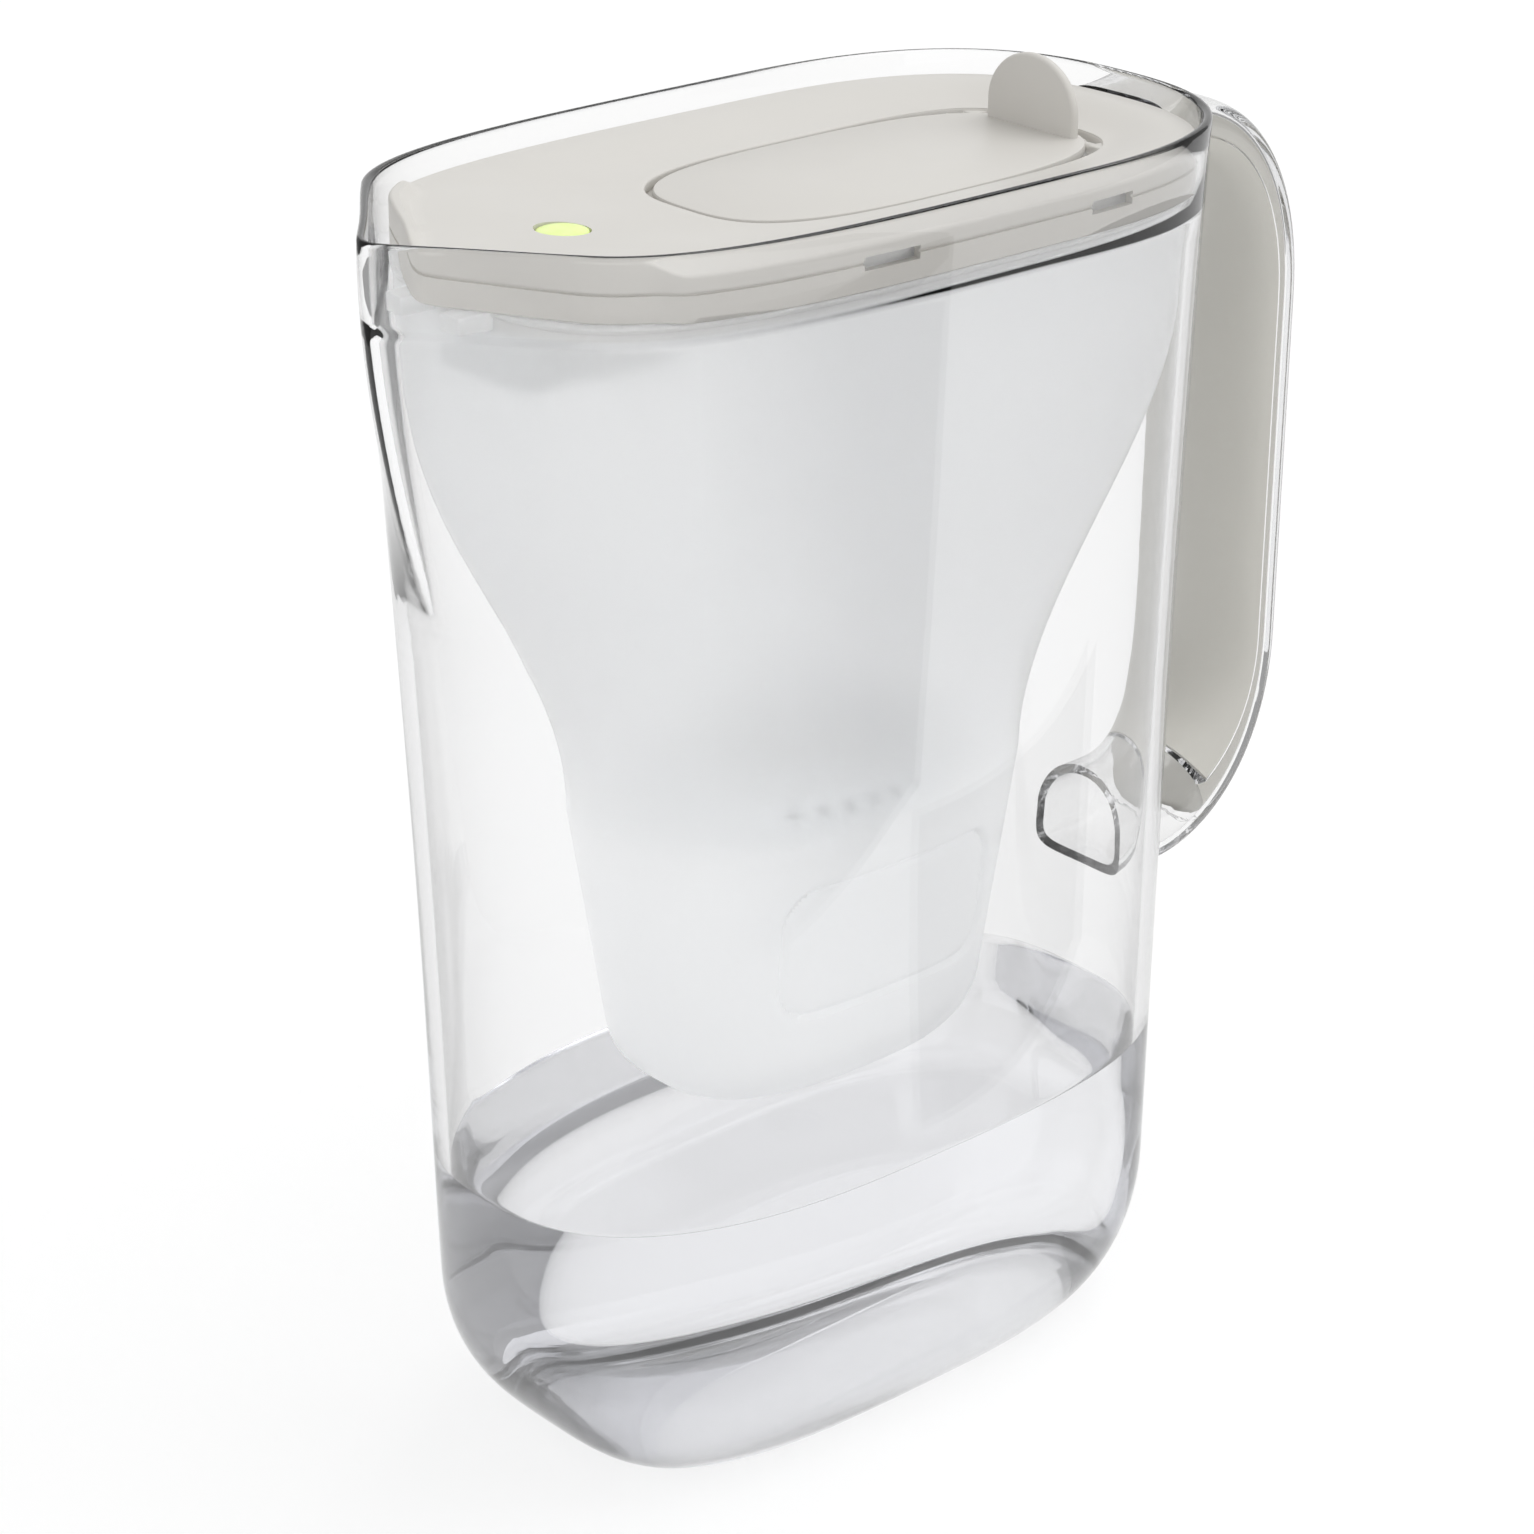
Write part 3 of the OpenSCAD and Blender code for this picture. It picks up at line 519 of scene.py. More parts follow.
def cup_outline(z, inset):
    s = (CUP_Z - z) / (CUP_Z - CUP_BOTTOM)
    u = max(0.0, 1 - (z - CUP_BOTTOM) / CUP_ROUND)
    curve = CUP_ROUND * (1 - math.sqrt(max(0.0, 1 - u * u)))
    x_in = CUP_TAPER[0] * s + curve + inset
    y_in = CUP_TAPER[1] * s + 0.8 * curve + inset
    return oval(HOPPER_ANGLES, 0, CUP_X[0] + x_in, CUP_X[1] - x_in, CUP_HALF - y_in, 2.6, 2.6)


def hopper_ring(z, inset):
    if z <= CUP_Z:
        return ring(cup_outline(z, inset), z)
    wide = jug_outline(HOPPER_ANGLES, z, HOPPER_INSET + inset, 0)
    return ring(mix(cup_outline(CUP_Z, inset), wide, smooth((z - CUP_Z) / (SHOULDER_Z - CUP_Z))), z)


PANEL_X = (-28, 30)
PANEL_Z = (98, 128)
PANEL_R = 8
PANEL_GROOVE = 1.5
GROOVE_DEPTH = 1.1
FIELD_DEPTH = 0.3


def panel_depth(points):
    """Depth of the panel on the cup's near side: a shallow field inside a rounded groove."""
    x = points[:, 0] - sum(PANEL_X) / 2
    z = points[:, 2] - sum(PANEL_Z) / 2
    half_x = (PANEL_X[1] - PANEL_X[0]) / 2 - PANEL_R
    half_z = (PANEL_Z[1] - PANEL_Z[0]) / 2 - PANEL_R
    dx, dz = np.abs(x) - half_x, np.abs(z) - half_z
    outside = np.hypot(np.maximum(dx, 0), np.maximum(dz, 0))
    edge = outside + np.minimum(np.maximum(dx, dz), 0) - PANEL_R
    groove = GROOVE_DEPTH * np.exp(-(edge / PANEL_GROOVE * 2) ** 2)
    field = FIELD_DEPTH * smooth(-edge / 1.2)
    return np.where(points[:, 1] < 0, groove + field, 0)


def hopper_shell():
    panel = np.arange(PANEL_Z[0] - 4, PANEL_Z[1] + 4, 0.7)
    low = CUP_BOTTOM + CUP_ROUND * (1 - np.cos(np.linspace(0, math.pi / 2, 12)))
    cup = np.concatenate([low, [90.5, 92.5], panel, [134, 137, CUP_Z]])
    funnel = np.linspace(CUP_Z, SHOULDER_Z, 36)[1:]
    rim = np.array([244, 250, 256, FLANGE_Z[0] - 2])
    outer = []
    for z in np.concatenate([cup, funnel, rim]):
        r = hopper_ring(z, 0)
        r[:, 1] += panel_depth(r)
        outer.append(r)

    def level(z, inset):
        return ring(jug_outline(HOPPER_ANGLES, z, inset, 0), z)
    crest = UPSTAND_INSET + UPSTAND_DRAFT
    flange = [
        hopper_ring(FLANGE_Z[0], 0), level(FLANGE_Z[0], LID_INSET + 0.3), level(FLANGE_Z[0] + 0.3, LID_INSET),
        level(FLANGE_Z[1] - 0.3, LID_INSET), level(FLANGE_Z[1], LID_INSET + 0.3),
        level(FLANGE_Z[1], UPSTAND_INSET + 0.3), level(FLANGE_Z[1] + 0.3, UPSTAND_INSET),
        level(UPSTAND_TOP - 0.3, crest), level(UPSTAND_TOP, crest + 0.3),
        level(UPSTAND_TOP, crest + UPSTAND_T - 0.3), level(UPSTAND_TOP - 0.3, crest + UPSTAND_T),
        hopper_ring(FLANGE_Z[1] - 1, HOPPER_T),
    ]
    floor_z = CUP_BOTTOM + HOPPER_T
    seat = small_oval(HOPPER_ANGLES, 0, SEAT_HOLE, 2.4)
    seat_in = mix(seat, cup_outline(SEAT_Z, HOPPER_T), 0.03)
    inner_cup = np.concatenate([low[low > floor_z], [92, 98, 105, 112, 120, 128, SEAT_Z - SHELF_T]])
    inner = [hopper_ring(z, HOPPER_T) for z in reversed(np.concatenate([[SEAT_Z, CUP_Z], funnel, rim]))]
    inner += [ring(seat_in, SEAT_Z), ring(seat, SEAT_Z - 0.4), ring(seat, SEAT_Z - SHELF_T)]
    inner += [hopper_ring(z, HOPPER_T) for z in reversed(inner_cup)]
    outlet = small_oval(HOPPER_ANGLES, 0, (14, 14), 2)
    bottom = [ring(cup_outline(floor_z, HOPPER_T), floor_z), ring(outlet, floor_z), ring(outlet, CUP_BOTTOM)]
    return loft("hopper_translucent", outer + flange + inner + bottom, "joined", 30)


def band(name, angles, low, high, face, root):
    """A thin wall that follows the jug's outline. face and root are its outer and inner insets, at its
    low and high ends."""
    def level(z, inset):
        return ring(jug_outline(angles, z, inset, 0), z)
    rings = [level(low, face[0]), level(high, face[1]), level(high, root[1]), level(low, root[0])]
    return loft(name, rings, "joined")


def hopper_lugs():
    """Lugs on the hopper's rim, one behind each window of the lid's skirt."""
    low, high = WINDOW_Z[0] + 0.3, WINDOW_Z[1] - 0.3
    face = UPSTAND_INSET + 0.4
    lugs = []
    for x0, x1 in WINDOW_X:
        lug = band("lug", HOPPER_ANGLES, low, high, (face, face), (face + 1, face + 1))
        keep = block("keep", (x0 + 0.5, -HALF_W[2], low - 1), (x1 - 0.5, HALF_W[2], high + 1))
        lugs.append(cut(lug, [keep], "INTERSECT"))
    return lugs


def hopper_tabs():
    """Two small tabs under the flange at the spout."""
    nose = along(FRONT_X, FLANGE_Z[0]) + LID_INSET
    top = FLANGE_Z[1]
    return [
        block("tab", (nose - 7.5, side * 9 - 3, top - 4), (nose + 1, side * 9 + 3, top), 0.5)
        for side in (-1, 1)
    ]


# ---- lid --------------------------------------------------------------------------------------

LID_SIDES = 320
LID_ANGLES = bearings(LID_SIDES, 0.5)
LIP_START = -66
LIP_RISE = 2.6
LIP_DRAW = 2.0


def lid_outline(inset):
    """The lid's outline. In front of LIP_START it stands a little further from the jug's wall."""
    points = jug_outline(LID_ANGLES, LID_Z, inset, LID_NOSE)
    inner = jug_outline(LID_ANGLES, LID_Z, inset + LIP_DRAW, LID_NOSE)
    w = smooth((LIP_START - points[:, 0]) / 10)[:, None]
    return mix(points, inner, w)


def lip_rise(points):
    """The raised lip round the lid's nose, none at its very tip, where the water runs over."""
    return LIP_RISE * smooth((LIP_START - 1 - points[:, 0]) / 7) * smooth(np.abs(points[:, 1]) / 14)


def lid_shell():
    hole = small_oval(LID_ANGLES, HOLE_X, HOLE_SIZE, HOLE_N)
    outer = lid_outline(LID_INSET)
    under = lid_outline(LID_INSET + LID_T)
    rings = [ring(lid_outline(LID_INSET + 0.3), SKIRT_Z), ring(outer, SKIRT_Z + 0.3)]
    low, high = SKIRT_GROOVE_Z
    for z, depth in ((SKIRT_Z + 3, 0), (low, 0), (low + 0.1, SKIRT_GROOVE_DEPTH),
                     (high - 0.1, SKIRT_GROOVE_DEPTH), (high, 0), (LID_Z - 1.4, 0)):
        rings.append(ring(lid_outline(LID_INSET + depth), z))
    for a in (0, 25, 50, 75, 90):
        r = 0.8
        inset = LID_INSET + r - r * math.cos(math.radians(a))
        points = lid_outline(inset)
        rings.append(ring(points, LID_Z - r + r * math.sin(math.radians(a)) + lip_rise(points)))
    crest = lid_outline(LID_INSET + 1.9)
    rings.append(ring(crest, LID_Z + lip_rise(crest)))
    foot = lid_outline(LID_INSET + 3.4)
    rings.append(ring(foot, LID_Z - 0.02 + 0.25 * lip_rise(foot)))
    plate = lid_outline(LID_INSET + 4.2)
    for q in np.linspace(0, 0.985, 22):
        rings.append(ring(mix(plate, hole, q), LID_Z - LID_DISH * smooth(q)))
    r = 0.5
    centre = np.array([HOLE_X, 0])
    for a in (60, 30, 0):
        grow = 1 + (r - r * math.cos(math.radians(a))) / 40
        rings.append(ring(centre + (hole - centre) * grow, FLAP_Z - r + r * math.sin(math.radians(a))))
    for q in np.linspace(1, 0, 12):
        rings.append(ring(mix(under, hole, q), LID_Z - LID_T - LID_DISH * smooth(q)))
    rings += [ring(under, SKIRT_Z + 0.3), ring(lid_outline(LID_INSET + LID_T - 0.3), SKIRT_Z)]
    return loft("lid_plate", rings, "joined", 40)


def oval_prism(name, mid, size, n, low, high, radius=0.0, count=160):
    """An upright prism on a squared oval, with its edges rounded."""
    angles = bearings(count, 0.0)
    rings = []
    profile = [(radius, low), (radius * 0.3, low + radius * 0.3), (0, low + radius)]
    profile += [(0, high - radius), (radius * 0.3, high - radius * 0.3), (radius, high)]
    for inset, z in profile if radius else [(0, low), (0, high)]:
        rings.append(ring(small_oval(angles, mid, (size[0] - 2 * inset, size[1] - 2 * inset), n), z))
    return loft(name, rings, "flat", 40)


def flap_ledge():
    """The step round the lid's hole that the flap rests on, open at the hinge."""
    top = FLAP_Z - FLAP_T - 0.3
    n = HOLE_N[0]

    def grown(d):
        return HOLE_SIZE[0] + d, HOLE_SIZE[1] + d
    collar = oval_prism("collar", HOLE_X, grown(3.6), n, top - 1.4, FLAP_Z - 0.7)
    cut(collar, [oval_prism("in", HOLE_X, grown(0.6), n, top, FLAP_Z),
                 oval_prism("in", HOLE_X, grown(-6), n, top - 2, top + 1)], "DIFFERENCE")
    tail = block("tail", (48, -60, top - 5), (HOLE_X + 80, 60, FLAP_Z + 5))
    return cut(collar, [tail], "DIFFERENCE")


def module_collar():
    """Open frame under the lid that holds the indicator's box."""
    t = COLLAR_T
    x0 = MODULE_X - MODULE_SIZE[0] / 2 - COLLAR_GAP - t
    x1 = MODULE_X + MODULE_SIZE[0] / 2 + COLLAR_GAP + t
    half = MODULE_SIZE[1] / 2 + COLLAR_GAP + t
    foot, back_top, front_top = COLLAR_Z
    outline = [(x0, foot), (x1, foot), (x1, back_top), (x0, front_top)]
    points = [(x, y, z) for y in (-half, half) for x, z in outline]
    faces = [(0, 1, 2, 3), (7, 6, 5, 4)] + [(k, k + 4, (k + 1) % 4 + 4, (k + 1) % 4) for k in range(4)]
    frame_piece = add_mesh("collar", points, faces)
    return cut(frame_piece, [block("in", (x0 + t, t - half, 260), (x1 - t, half - t, 280))], "DIFFERENCE")


def hinge_boss(side):
    """Boss that carries one pin, on the side of Y that side gives."""
    near, far = sorted(side * y for y in BOSS_Y)
    low = (HINGE[0] + BOSS_X[0], near, HINGE[1] - BOSS_DROP)
    high = (HINGE[0] + BOSS_X[1], far, HINGE[1] + FLAP_T - 0.5)
    boss = block("boss", low, high, 0.4)
    bore = turned("bore", [(PIN_R + PIN_PLAY, y) for y in BORE_Y], (HINGE[0], 0, HINGE[1]), "y")
    if side < 0:
        bore.data.transform(Matrix.Scale(-1, 4, (0, 1, 0)))
        tidy(bore)
    return cut(boss, [bore], "DIFFERENCE")


def lid():
    shell = lid_shell()
    cutters = [turned("dot", [(DOT_R + DOT_GAP, 262), (DOT_R + DOT_GAP, 276)], (DOT_X, 0, 0))]
    for low, high in WINDOW_X:
        for y in (-50, 50):
            cutters.append(block("window", (low, y - 10, WINDOW_Z[0]), (high, y + 10, WINDOW_Z[1])))
    cut(shell, cutters, "DIFFERENCE", 40)
    inside = [inset + PLUG_T for inset in PLUG_INSET]
    skirt = band("skirt", LID_ANGLES, PLUG_Z, LID_Z - LID_T + 0.5, PLUG_INSET, inside)
    return join(shell, [skirt, flap_ledge(), module_collar(), hinge_boss(-1), hinge_boss(1)])


def flap():
    plate = oval_prism("filler_flap", FLAP_X, FLAP_SIZE, FLAP_N, FLAP_Z - FLAP_T, FLAP_Z, 0.5, 240)
    shoulder = TAB_TOP - 11.5
    outline = [(TAB_W / 2, FLAP_Z - 1)]
    outline += [
        (TAB_W / 2 * math.cos(a), shoulder + (TAB_TOP - shoulder) * math.sin(a))
        for a in np.linspace(0, math.pi, 49)
    ]
    outline += [(-TAB_W / 2, FLAP_Z - 1)]
    rings = []
    centre = np.array([0, FLAP_Z + 4])
    points = np.array(outline)
    for x, draw in ((TAB_X[0], 0.7), (TAB_X[0] + 0.25, 0.25), (TAB_X[0] + 0.7, 0), (TAB_X[1] - 0.7, 0),
                    (TAB_X[1] - 0.25, 0.25), (TAB_X[1], 0.7)):
        away = points - centre
        drawn = points - away / np.linalg.norm(away, axis=1)[:, None] * draw
        drawn[[0, -1]] = points[[0, -1]] - np.array([[np.sign(p[0]) * draw, 0] for p in points[[0, -1]]])
        rings.append(np.column_stack([np.full(len(drawn), x), drawn]))
    tab = loft("tab", rings, "flat", 40)
    barrel = turned("barrel", [(BARREL[0] - 0.3, -BARREL[1]), (BARREL[0], -BARREL[1] + 0.3),
                               (BARREL[0], BARREL[1] - 0.3), (BARREL[0] - 0.3, BARREL[1])],
                    (HINGE[0], 0, HINGE[1]), "y")
    pins = turned("pins", [(PIN_R - 0.3, -PIN_END), (PIN_R, -PIN_END + 0.3), (PIN_R, PIN_END - 0.3),
                           (PIN_R - 0.3, PIN_END)], (HINGE[0], 0, HINGE[1]), "y")
    return join(plate, [tab, barrel, pins])


def button():
    top = LID_Z - LID_DISH * 0.57 + 0.2
    wide, thick = DOT_R + BUTTON_FLANGE[0], BUTTON_LOW + BUTTON_FLANGE[1]
    profile = [(0, BUTTON_LOW), (wide, BUTTON_LOW), (wide, thick), (DOT_R, thick), (DOT_R, top - 0.6)]
    profile += [(DOT_R - 0.12, top - 0.3), (DOT_R - 0.5, top - 0.1), (DOT_R * 0.6, top), (0, top)]
    return turned("indicator_dot", profile, (DOT_X, 0, 0), crease=50)


# ---- water ------------------------------------------------------------------------------------


def water():
    overlap = 0.06
    low = FLOOR_T - overlap
    levels = [z for z in body_levels(FLOOR_T, LEDGE_Z - 4) if low < z < WATER_Z - 1]
    rings = [inner_ring(z, overlap) for z in levels]
    rings[0][:, 2] = low
    rings.append(inner_ring(WATER_Z + 0.7, overlap))
    for z, away in ((0.45, 0.3), (0.2, 0.8), (0.06, 1.6), (0.0, 3.0)):
        rings.append(ring(inner_ring(WATER_Z, -away)[:, :2], WATER_Z + z))
    return loft("water_fill", rings, "flat", 60)


# ---- materials --------------------------------------------------------------------------------


def srgb(r, g, b):
    """A colour given as sRGB 0 to 255."""
    return tuple(
        c / 12.92 if c <= 0.04045 else ((c + 0.055) / 1.055) ** 2.4 for c in (r / 255, g / 255, b / 255)
    ) + (1.0,)


def math_node(tree, operation, *terms):
    """A Math node's result. Each term is a socket or a number."""
    made = tree.nodes.new("ShaderNodeMath")
    made.operation = operation
    for slot, term in zip(made.inputs, terms):
        if isinstance(term, (int, float)):
            slot.default_value = term
        else:
            tree.links.new(term, slot)
    return made.outputs[0]


class Finish:
    """A node material under construction."""

    def __init__(self, name, colour, roughness, **sockets):
        self.mat = bpy.data.materials.new(name)
        self.mat.use_nodes = True
        self.tree = self.mat.node_tree
        self.shader = self.tree.nodes["Principled BSDF"]
        self.out = self.tree.nodes["Material Output"]
        self.coord = self.node("ShaderNodeTexCoord")
        self.shader.inputs["Base Color"].default_value = colour
        self.shader.inputs["Roughness"].default_value = roughness
        for socket, value in sockets.items():
            self.shader.inputs[socket.replace("_", " ")].default_value = value

    def node(self, kind, **settings):
        made = self.tree.nodes.new(kind)
        for key, value in settings.items():
            setattr(made, key, value)
        return made

    def link(self, a, b):
        self.tree.links.new(a, b)

    def noise(self, scale, detail=3.0, rough=0.5, stretch=None):
        made = self.node("ShaderNodeTexNoise")
        made.inputs["Scale"].default_value = scale
        made.inputs["Detail"].default_value = detail
        made.inputs["Roughness"].default_value = rough
        source = self.coord.outputs["Object"]
        if stretch:
            mapping = self.node("ShaderNodeMapping")
            mapping.inputs["Scale"].default_value = stretch
            self.link(source, mapping.inputs["Vector"])
            source = mapping.outputs["Vector"]
        self.link(source, made.inputs["Vector"])
        return made.outputs["Fac"]

    def span(self, value, low, high):
        made = self.node("ShaderNodeMapRange")
        made.inputs["From Min"].default_value = 0.3
        made.inputs["From Max"].default_value = 0.7
        made.inputs["To Min"].default_value = low
        made.inputs["To Max"].default_value = high
        self.link(value, made.inputs["Value"])
        return made.outputs["Result"]

    def height(self):
        """Height above the table at rest, in metres."""
        made = self.node("ShaderNodeSeparateXYZ")
        self.link(self.coord.outputs["Object"], made.inputs[0])
        return made.outputs["Z"]

    def ease(self, value, start, end, low, high):
        """Goes smoothly from low to high while value goes from start to end, in millimetres."""
        made = self.node("ShaderNodeMapRange", interpolation_type="SMOOTHSTEP")
        limits = {"From Min": start * MM, "From Max": end * MM, "To Min": low, "To Max": high}
        for socket, number in limits.items():
            made.inputs[socket].default_value = number
        self.link(value, made.inputs["Value"])
        return made.outputs["Result"]

    def absorb(self, colour, density):
        made = self.node("ShaderNodeVolumeAbsorption")
        made.inputs["Color"].default_value = colour
        made.inputs["Density"].default_value = density
        self.link(made.outputs["Volume"], self.out.inputs["Volume"])

    def colours(self, value, low, high):
        made = self.node("ShaderNodeMix", data_type="RGBA")
        made.inputs["A"].default_value = low
        made.inputs["B"].default_value = high
        self.link(value, made.inputs["Factor"])
        return made.outputs["Result"]

    def roughness(self, value):
        self.link(value, self.shader.inputs["Roughness"])

    def colour(self, value):
        self.link(value, self.shader.inputs["Base Color"])

    def bump(self, value, strength, distance):
        made = self.node("ShaderNodeBump")
        made.inputs["Strength"].default_value = strength
        made.inputs["Distance"].default_value = distance * MM
        self.link(value, made.inputs["Height"])
        self.link(made.outputs["Normal"], self.shader.inputs["Normal"])


def clear_plastic():
    """Clear jug plastic: faint mould flow and a few soft smears. Its colour is darkened with painted shade
    where it is seen edge on, standing in for the dark edges its surroundings would draw, and less so at the
    foot."""
    f = Finish("clear_plastic", srgb(255, 255, 255), 0.02, Transmission_Weight=1.0, IOR=1.49)
    f.roughness(f.span(f.noise(14, 4), 0.004, 0.02))
    f.bump(f.noise(9, 2), 0.12, 0.5)
    # painted shade: the base colour turns grey where the surface is seen edge on, less so below 75 mm
    edge = f.node("ShaderNodeLayerWeight")
    edge.inputs["Blend"].default_value = 0.5
    edge_shade_falloff = math_node(f.tree, "POWER", edge.outputs["Facing"], 3.0)
    painted_edge_shade = math_node(f.tree, "MULTIPLY", edge_shade_falloff, f.ease(f.height(), 30, 75, 0.35, 1.0))
    f.colour(f.colours(painted_edge_shade, srgb(254, 254, 254), srgb(80, 79, 80)))
    f.absorb(srgb(190, 192, 198), 10.0)
    return f.mat


def milky_plastic():
    """Translucent hopper plastic, whiter towards the cup, where it lets less light through and has a faint
    painted glow that stands in for the light it scatters.
    """
    f = Finish("milky_plastic", srgb(250, 252, 253), 0.25, IOR=1.45)
    z = f.height()
    f.link(f.ease(z, 134, 146, 0.25, 0.7), f.shader.inputs["Transmission Weight"])
    # painted glow: a faint emission, strongest at the cup, stands in for scattered light
    f.shader.inputs["Emission Color"].default_value = srgb(255, 255, 255)
    f.link(f.ease(z, 138, 160, 0.035, 0.014), f.shader.inputs["Emission Strength"])
    f.roughness(f.span(f.noise(30, 4), 0.29, 0.36))
    f.colour(f.colours(f.noise(6, 3), srgb(252, 253, 254), srgb(255, 255, 255)))
    f.bump(f.noise(160, 2), 0.05, 0.2)
    return f.mat


def moulded(name, low, high, rough=(0.38, 0.5), grain=900, depth=0.05):
    """Opaque moulded plastic with fine spark-eroded grain and slight tone and gloss changes."""
    f = Finish(name, low, 0.45, IOR=1.46)
    f.colour(f.colours(f.noise(12, 4), low, high))
    f.roughness(f.span(f.noise(40, 5), *rough))
    f.bump(f.noise(grain, 3, 0.6), 0.25, depth)
    return f.mat


def rubber(name, low, high):
    f = Finish(name, low, 0.7, IOR=1.42)
    f.colour(f.colours(f.noise(60, 4), low, high))
    f.roughness(f.span(f.noise(200, 3), 0.6, 0.8))
    f.bump(f.noise(700, 2), 0.2, 0.05)
    return f.mat


def metal(name, low, high, rough=(0.2, 0.34)):
    """Plated or brushed metal, with fine lines along X."""
    f = Finish(name, low, 0.3, Metallic=1.0)
    lines = f.noise(900, 3, 0.6, (0.05, 1, 1))
    f.colour(f.colours(f.noise(90, 3), low, high))
    f.roughness(f.span(lines, *rough))
    f.bump(lines, 0.1, 0.02)
    return f.mat


def lime_button():
    """Frosted lime button with a faint painted glow, an emission that stands in for light from below."""
    f = Finish("lime_button", srgb(226, 250, 140), 0.35, Subsurface_Weight=0.3, IOR=1.46)
    f.shader.inputs["Subsurface Radius"].default_value = (0.003, 0.004, 0.001)
    # painted glow: a small emission stands in for light from below
    f.shader.inputs["Emission Strength"].default_value = 0.08
    f.colour(f.colours(f.noise(300, 3), srgb(216, 236, 140), srgb(228, 244, 164)))
    f.shader.inputs["Emission Color"].default_value = srgb(230, 250, 160)
    f.roughness(f.span(f.noise(500, 3), 0.3, 0.42))
    f.bump(f.noise(900, 2), 0.2, 0.04)
    return f.mat


def water_look():
    f = Finish("water_look", srgb(255, 255, 255), 0.0, Transmission_Weight=1.0, IOR=1.33)
    f.roughness(f.span(f.noise(8, 2), 0.004, 0.012))
    f.bump(f.noise(14, 2), 0.08, 0.4)
    f.absorb(srgb(222, 224, 234), 3.0)
    return f.mat


def woven(name, low, high):
    """Fine woven screen: two crossed sets of threads."""
    f = Finish(name, low, 0.6)
    threads = []
    for direction in ("X", "Y"):
        wave = f.node("ShaderNodeTexWave", bands_direction=direction)
        wave.inputs["Scale"].default_value = 600
        f.link(f.coord.outputs["Object"], wave.inputs["Vector"])
        threads.append(wave.outputs["Fac"])
    both = math_node(f.tree, "MAXIMUM", *threads)
    f.colour(f.colours(both, low, high))
    f.roughness(f.span(f.noise(300, 2), 0.5, 0.7))
    f.bump(both, 0.5, 0.1)
    return f.mat


def carbon():
    f = Finish("carbon", srgb(40, 40, 42), 0.6)
    cells = f.node("ShaderNodeTexVoronoi")
    cells.inputs["Scale"].default_value = 1200
    f.link(f.coord.outputs["Object"], cells.inputs["Vector"])
    f.colour(f.colours(cells.outputs["Distance"], srgb(66, 66, 68), srgb(22, 22, 24)))
    f.roughness(f.span(f.noise(900, 2), 0.4, 0.8))
    f.bump(cells.outputs["Distance"], 0.8, 0.4)
    return f.mat


def board():
    """Solder resist with a faint pattern of copper lines."""
    f = Finish("board", srgb(24, 92, 60), 0.4)
    tracks = f.node("ShaderNodeTexBrick")
    tracks.inputs["Scale"].default_value = 300
    tracks.inputs["Color1"].default_value = srgb(20, 84, 54)
    tracks.inputs["Color2"].default_value = srgb(26, 98, 62)
    tracks.inputs["Mortar"].default_value = srgb(52, 130, 84)
    f.link(f.coord.outputs["Object"], tracks.inputs["Vector"])
    f.colour(tracks.outputs["Color"])
    f.roughness(f.span(f.noise(200, 2), 0.3, 0.5))
    f.bump(tracks.outputs["Fac"], 0.2, 0.05)
    return f.mat


GREY = srgb(203, 200, 195), srgb(206, 204, 199)
FINISH = {
    "clear_jug": clear_plastic(),
    "milky_clear": milky_plastic(),
    "warm_grey": moulded("warm_grey", *GREY),
    "grip_grey": moulded("grip_grey", srgb(196, 194, 187), srgb(201, 199, 192), (0.3, 0.42)),
    "module_grey": moulded("module_grey", srgb(216, 218, 219), srgb(221, 223, 224)),
    "seal_black": rubber("seal_black", srgb(40, 40, 42), srgb(52, 52, 54)),
    "steel": metal("steel", srgb(190, 192, 196), srgb(206, 208, 210)),
    "board_green": board(),
    "led_lens": moulded("led_lens", srgb(246, 242, 206), srgb(250, 248, 220), (0.1, 0.2)),
    "switch_black": moulded("switch_black", srgb(36, 36, 38), srgb(44, 44, 46)),
    "contact_nickel": metal("contact_nickel", srgb(200, 192, 170), srgb(214, 208, 188)),
    "button_lime": lime_button(),
    "silicone": rubber("silicone", srgb(216, 216, 214), srgb(226, 226, 224)),
    "cartridge_white": moulded("cartridge_white", srgb(240, 241, 242), srgb(246, 247, 248)),
    "cap_clear": moulded("cap_clear", srgb(244, 246, 248), srgb(249, 250, 251), (0.2, 0.3)),
    "seal_grey": rubber("seal_grey", srgb(176, 184, 192), srgb(186, 194, 200)),
    "screen_mesh": woven("screen_mesh", srgb(200, 200, 196), srgb(236, 236, 232)),
    "carbon_grain": carbon(),
}


# ---- camera -----------------------------------------------------------------------------------


VIEW_AZIMUTH = math.radians(-41.945)
MIRROR_EDGE = 226  # where the far mirrored card ends, in millimetres along X


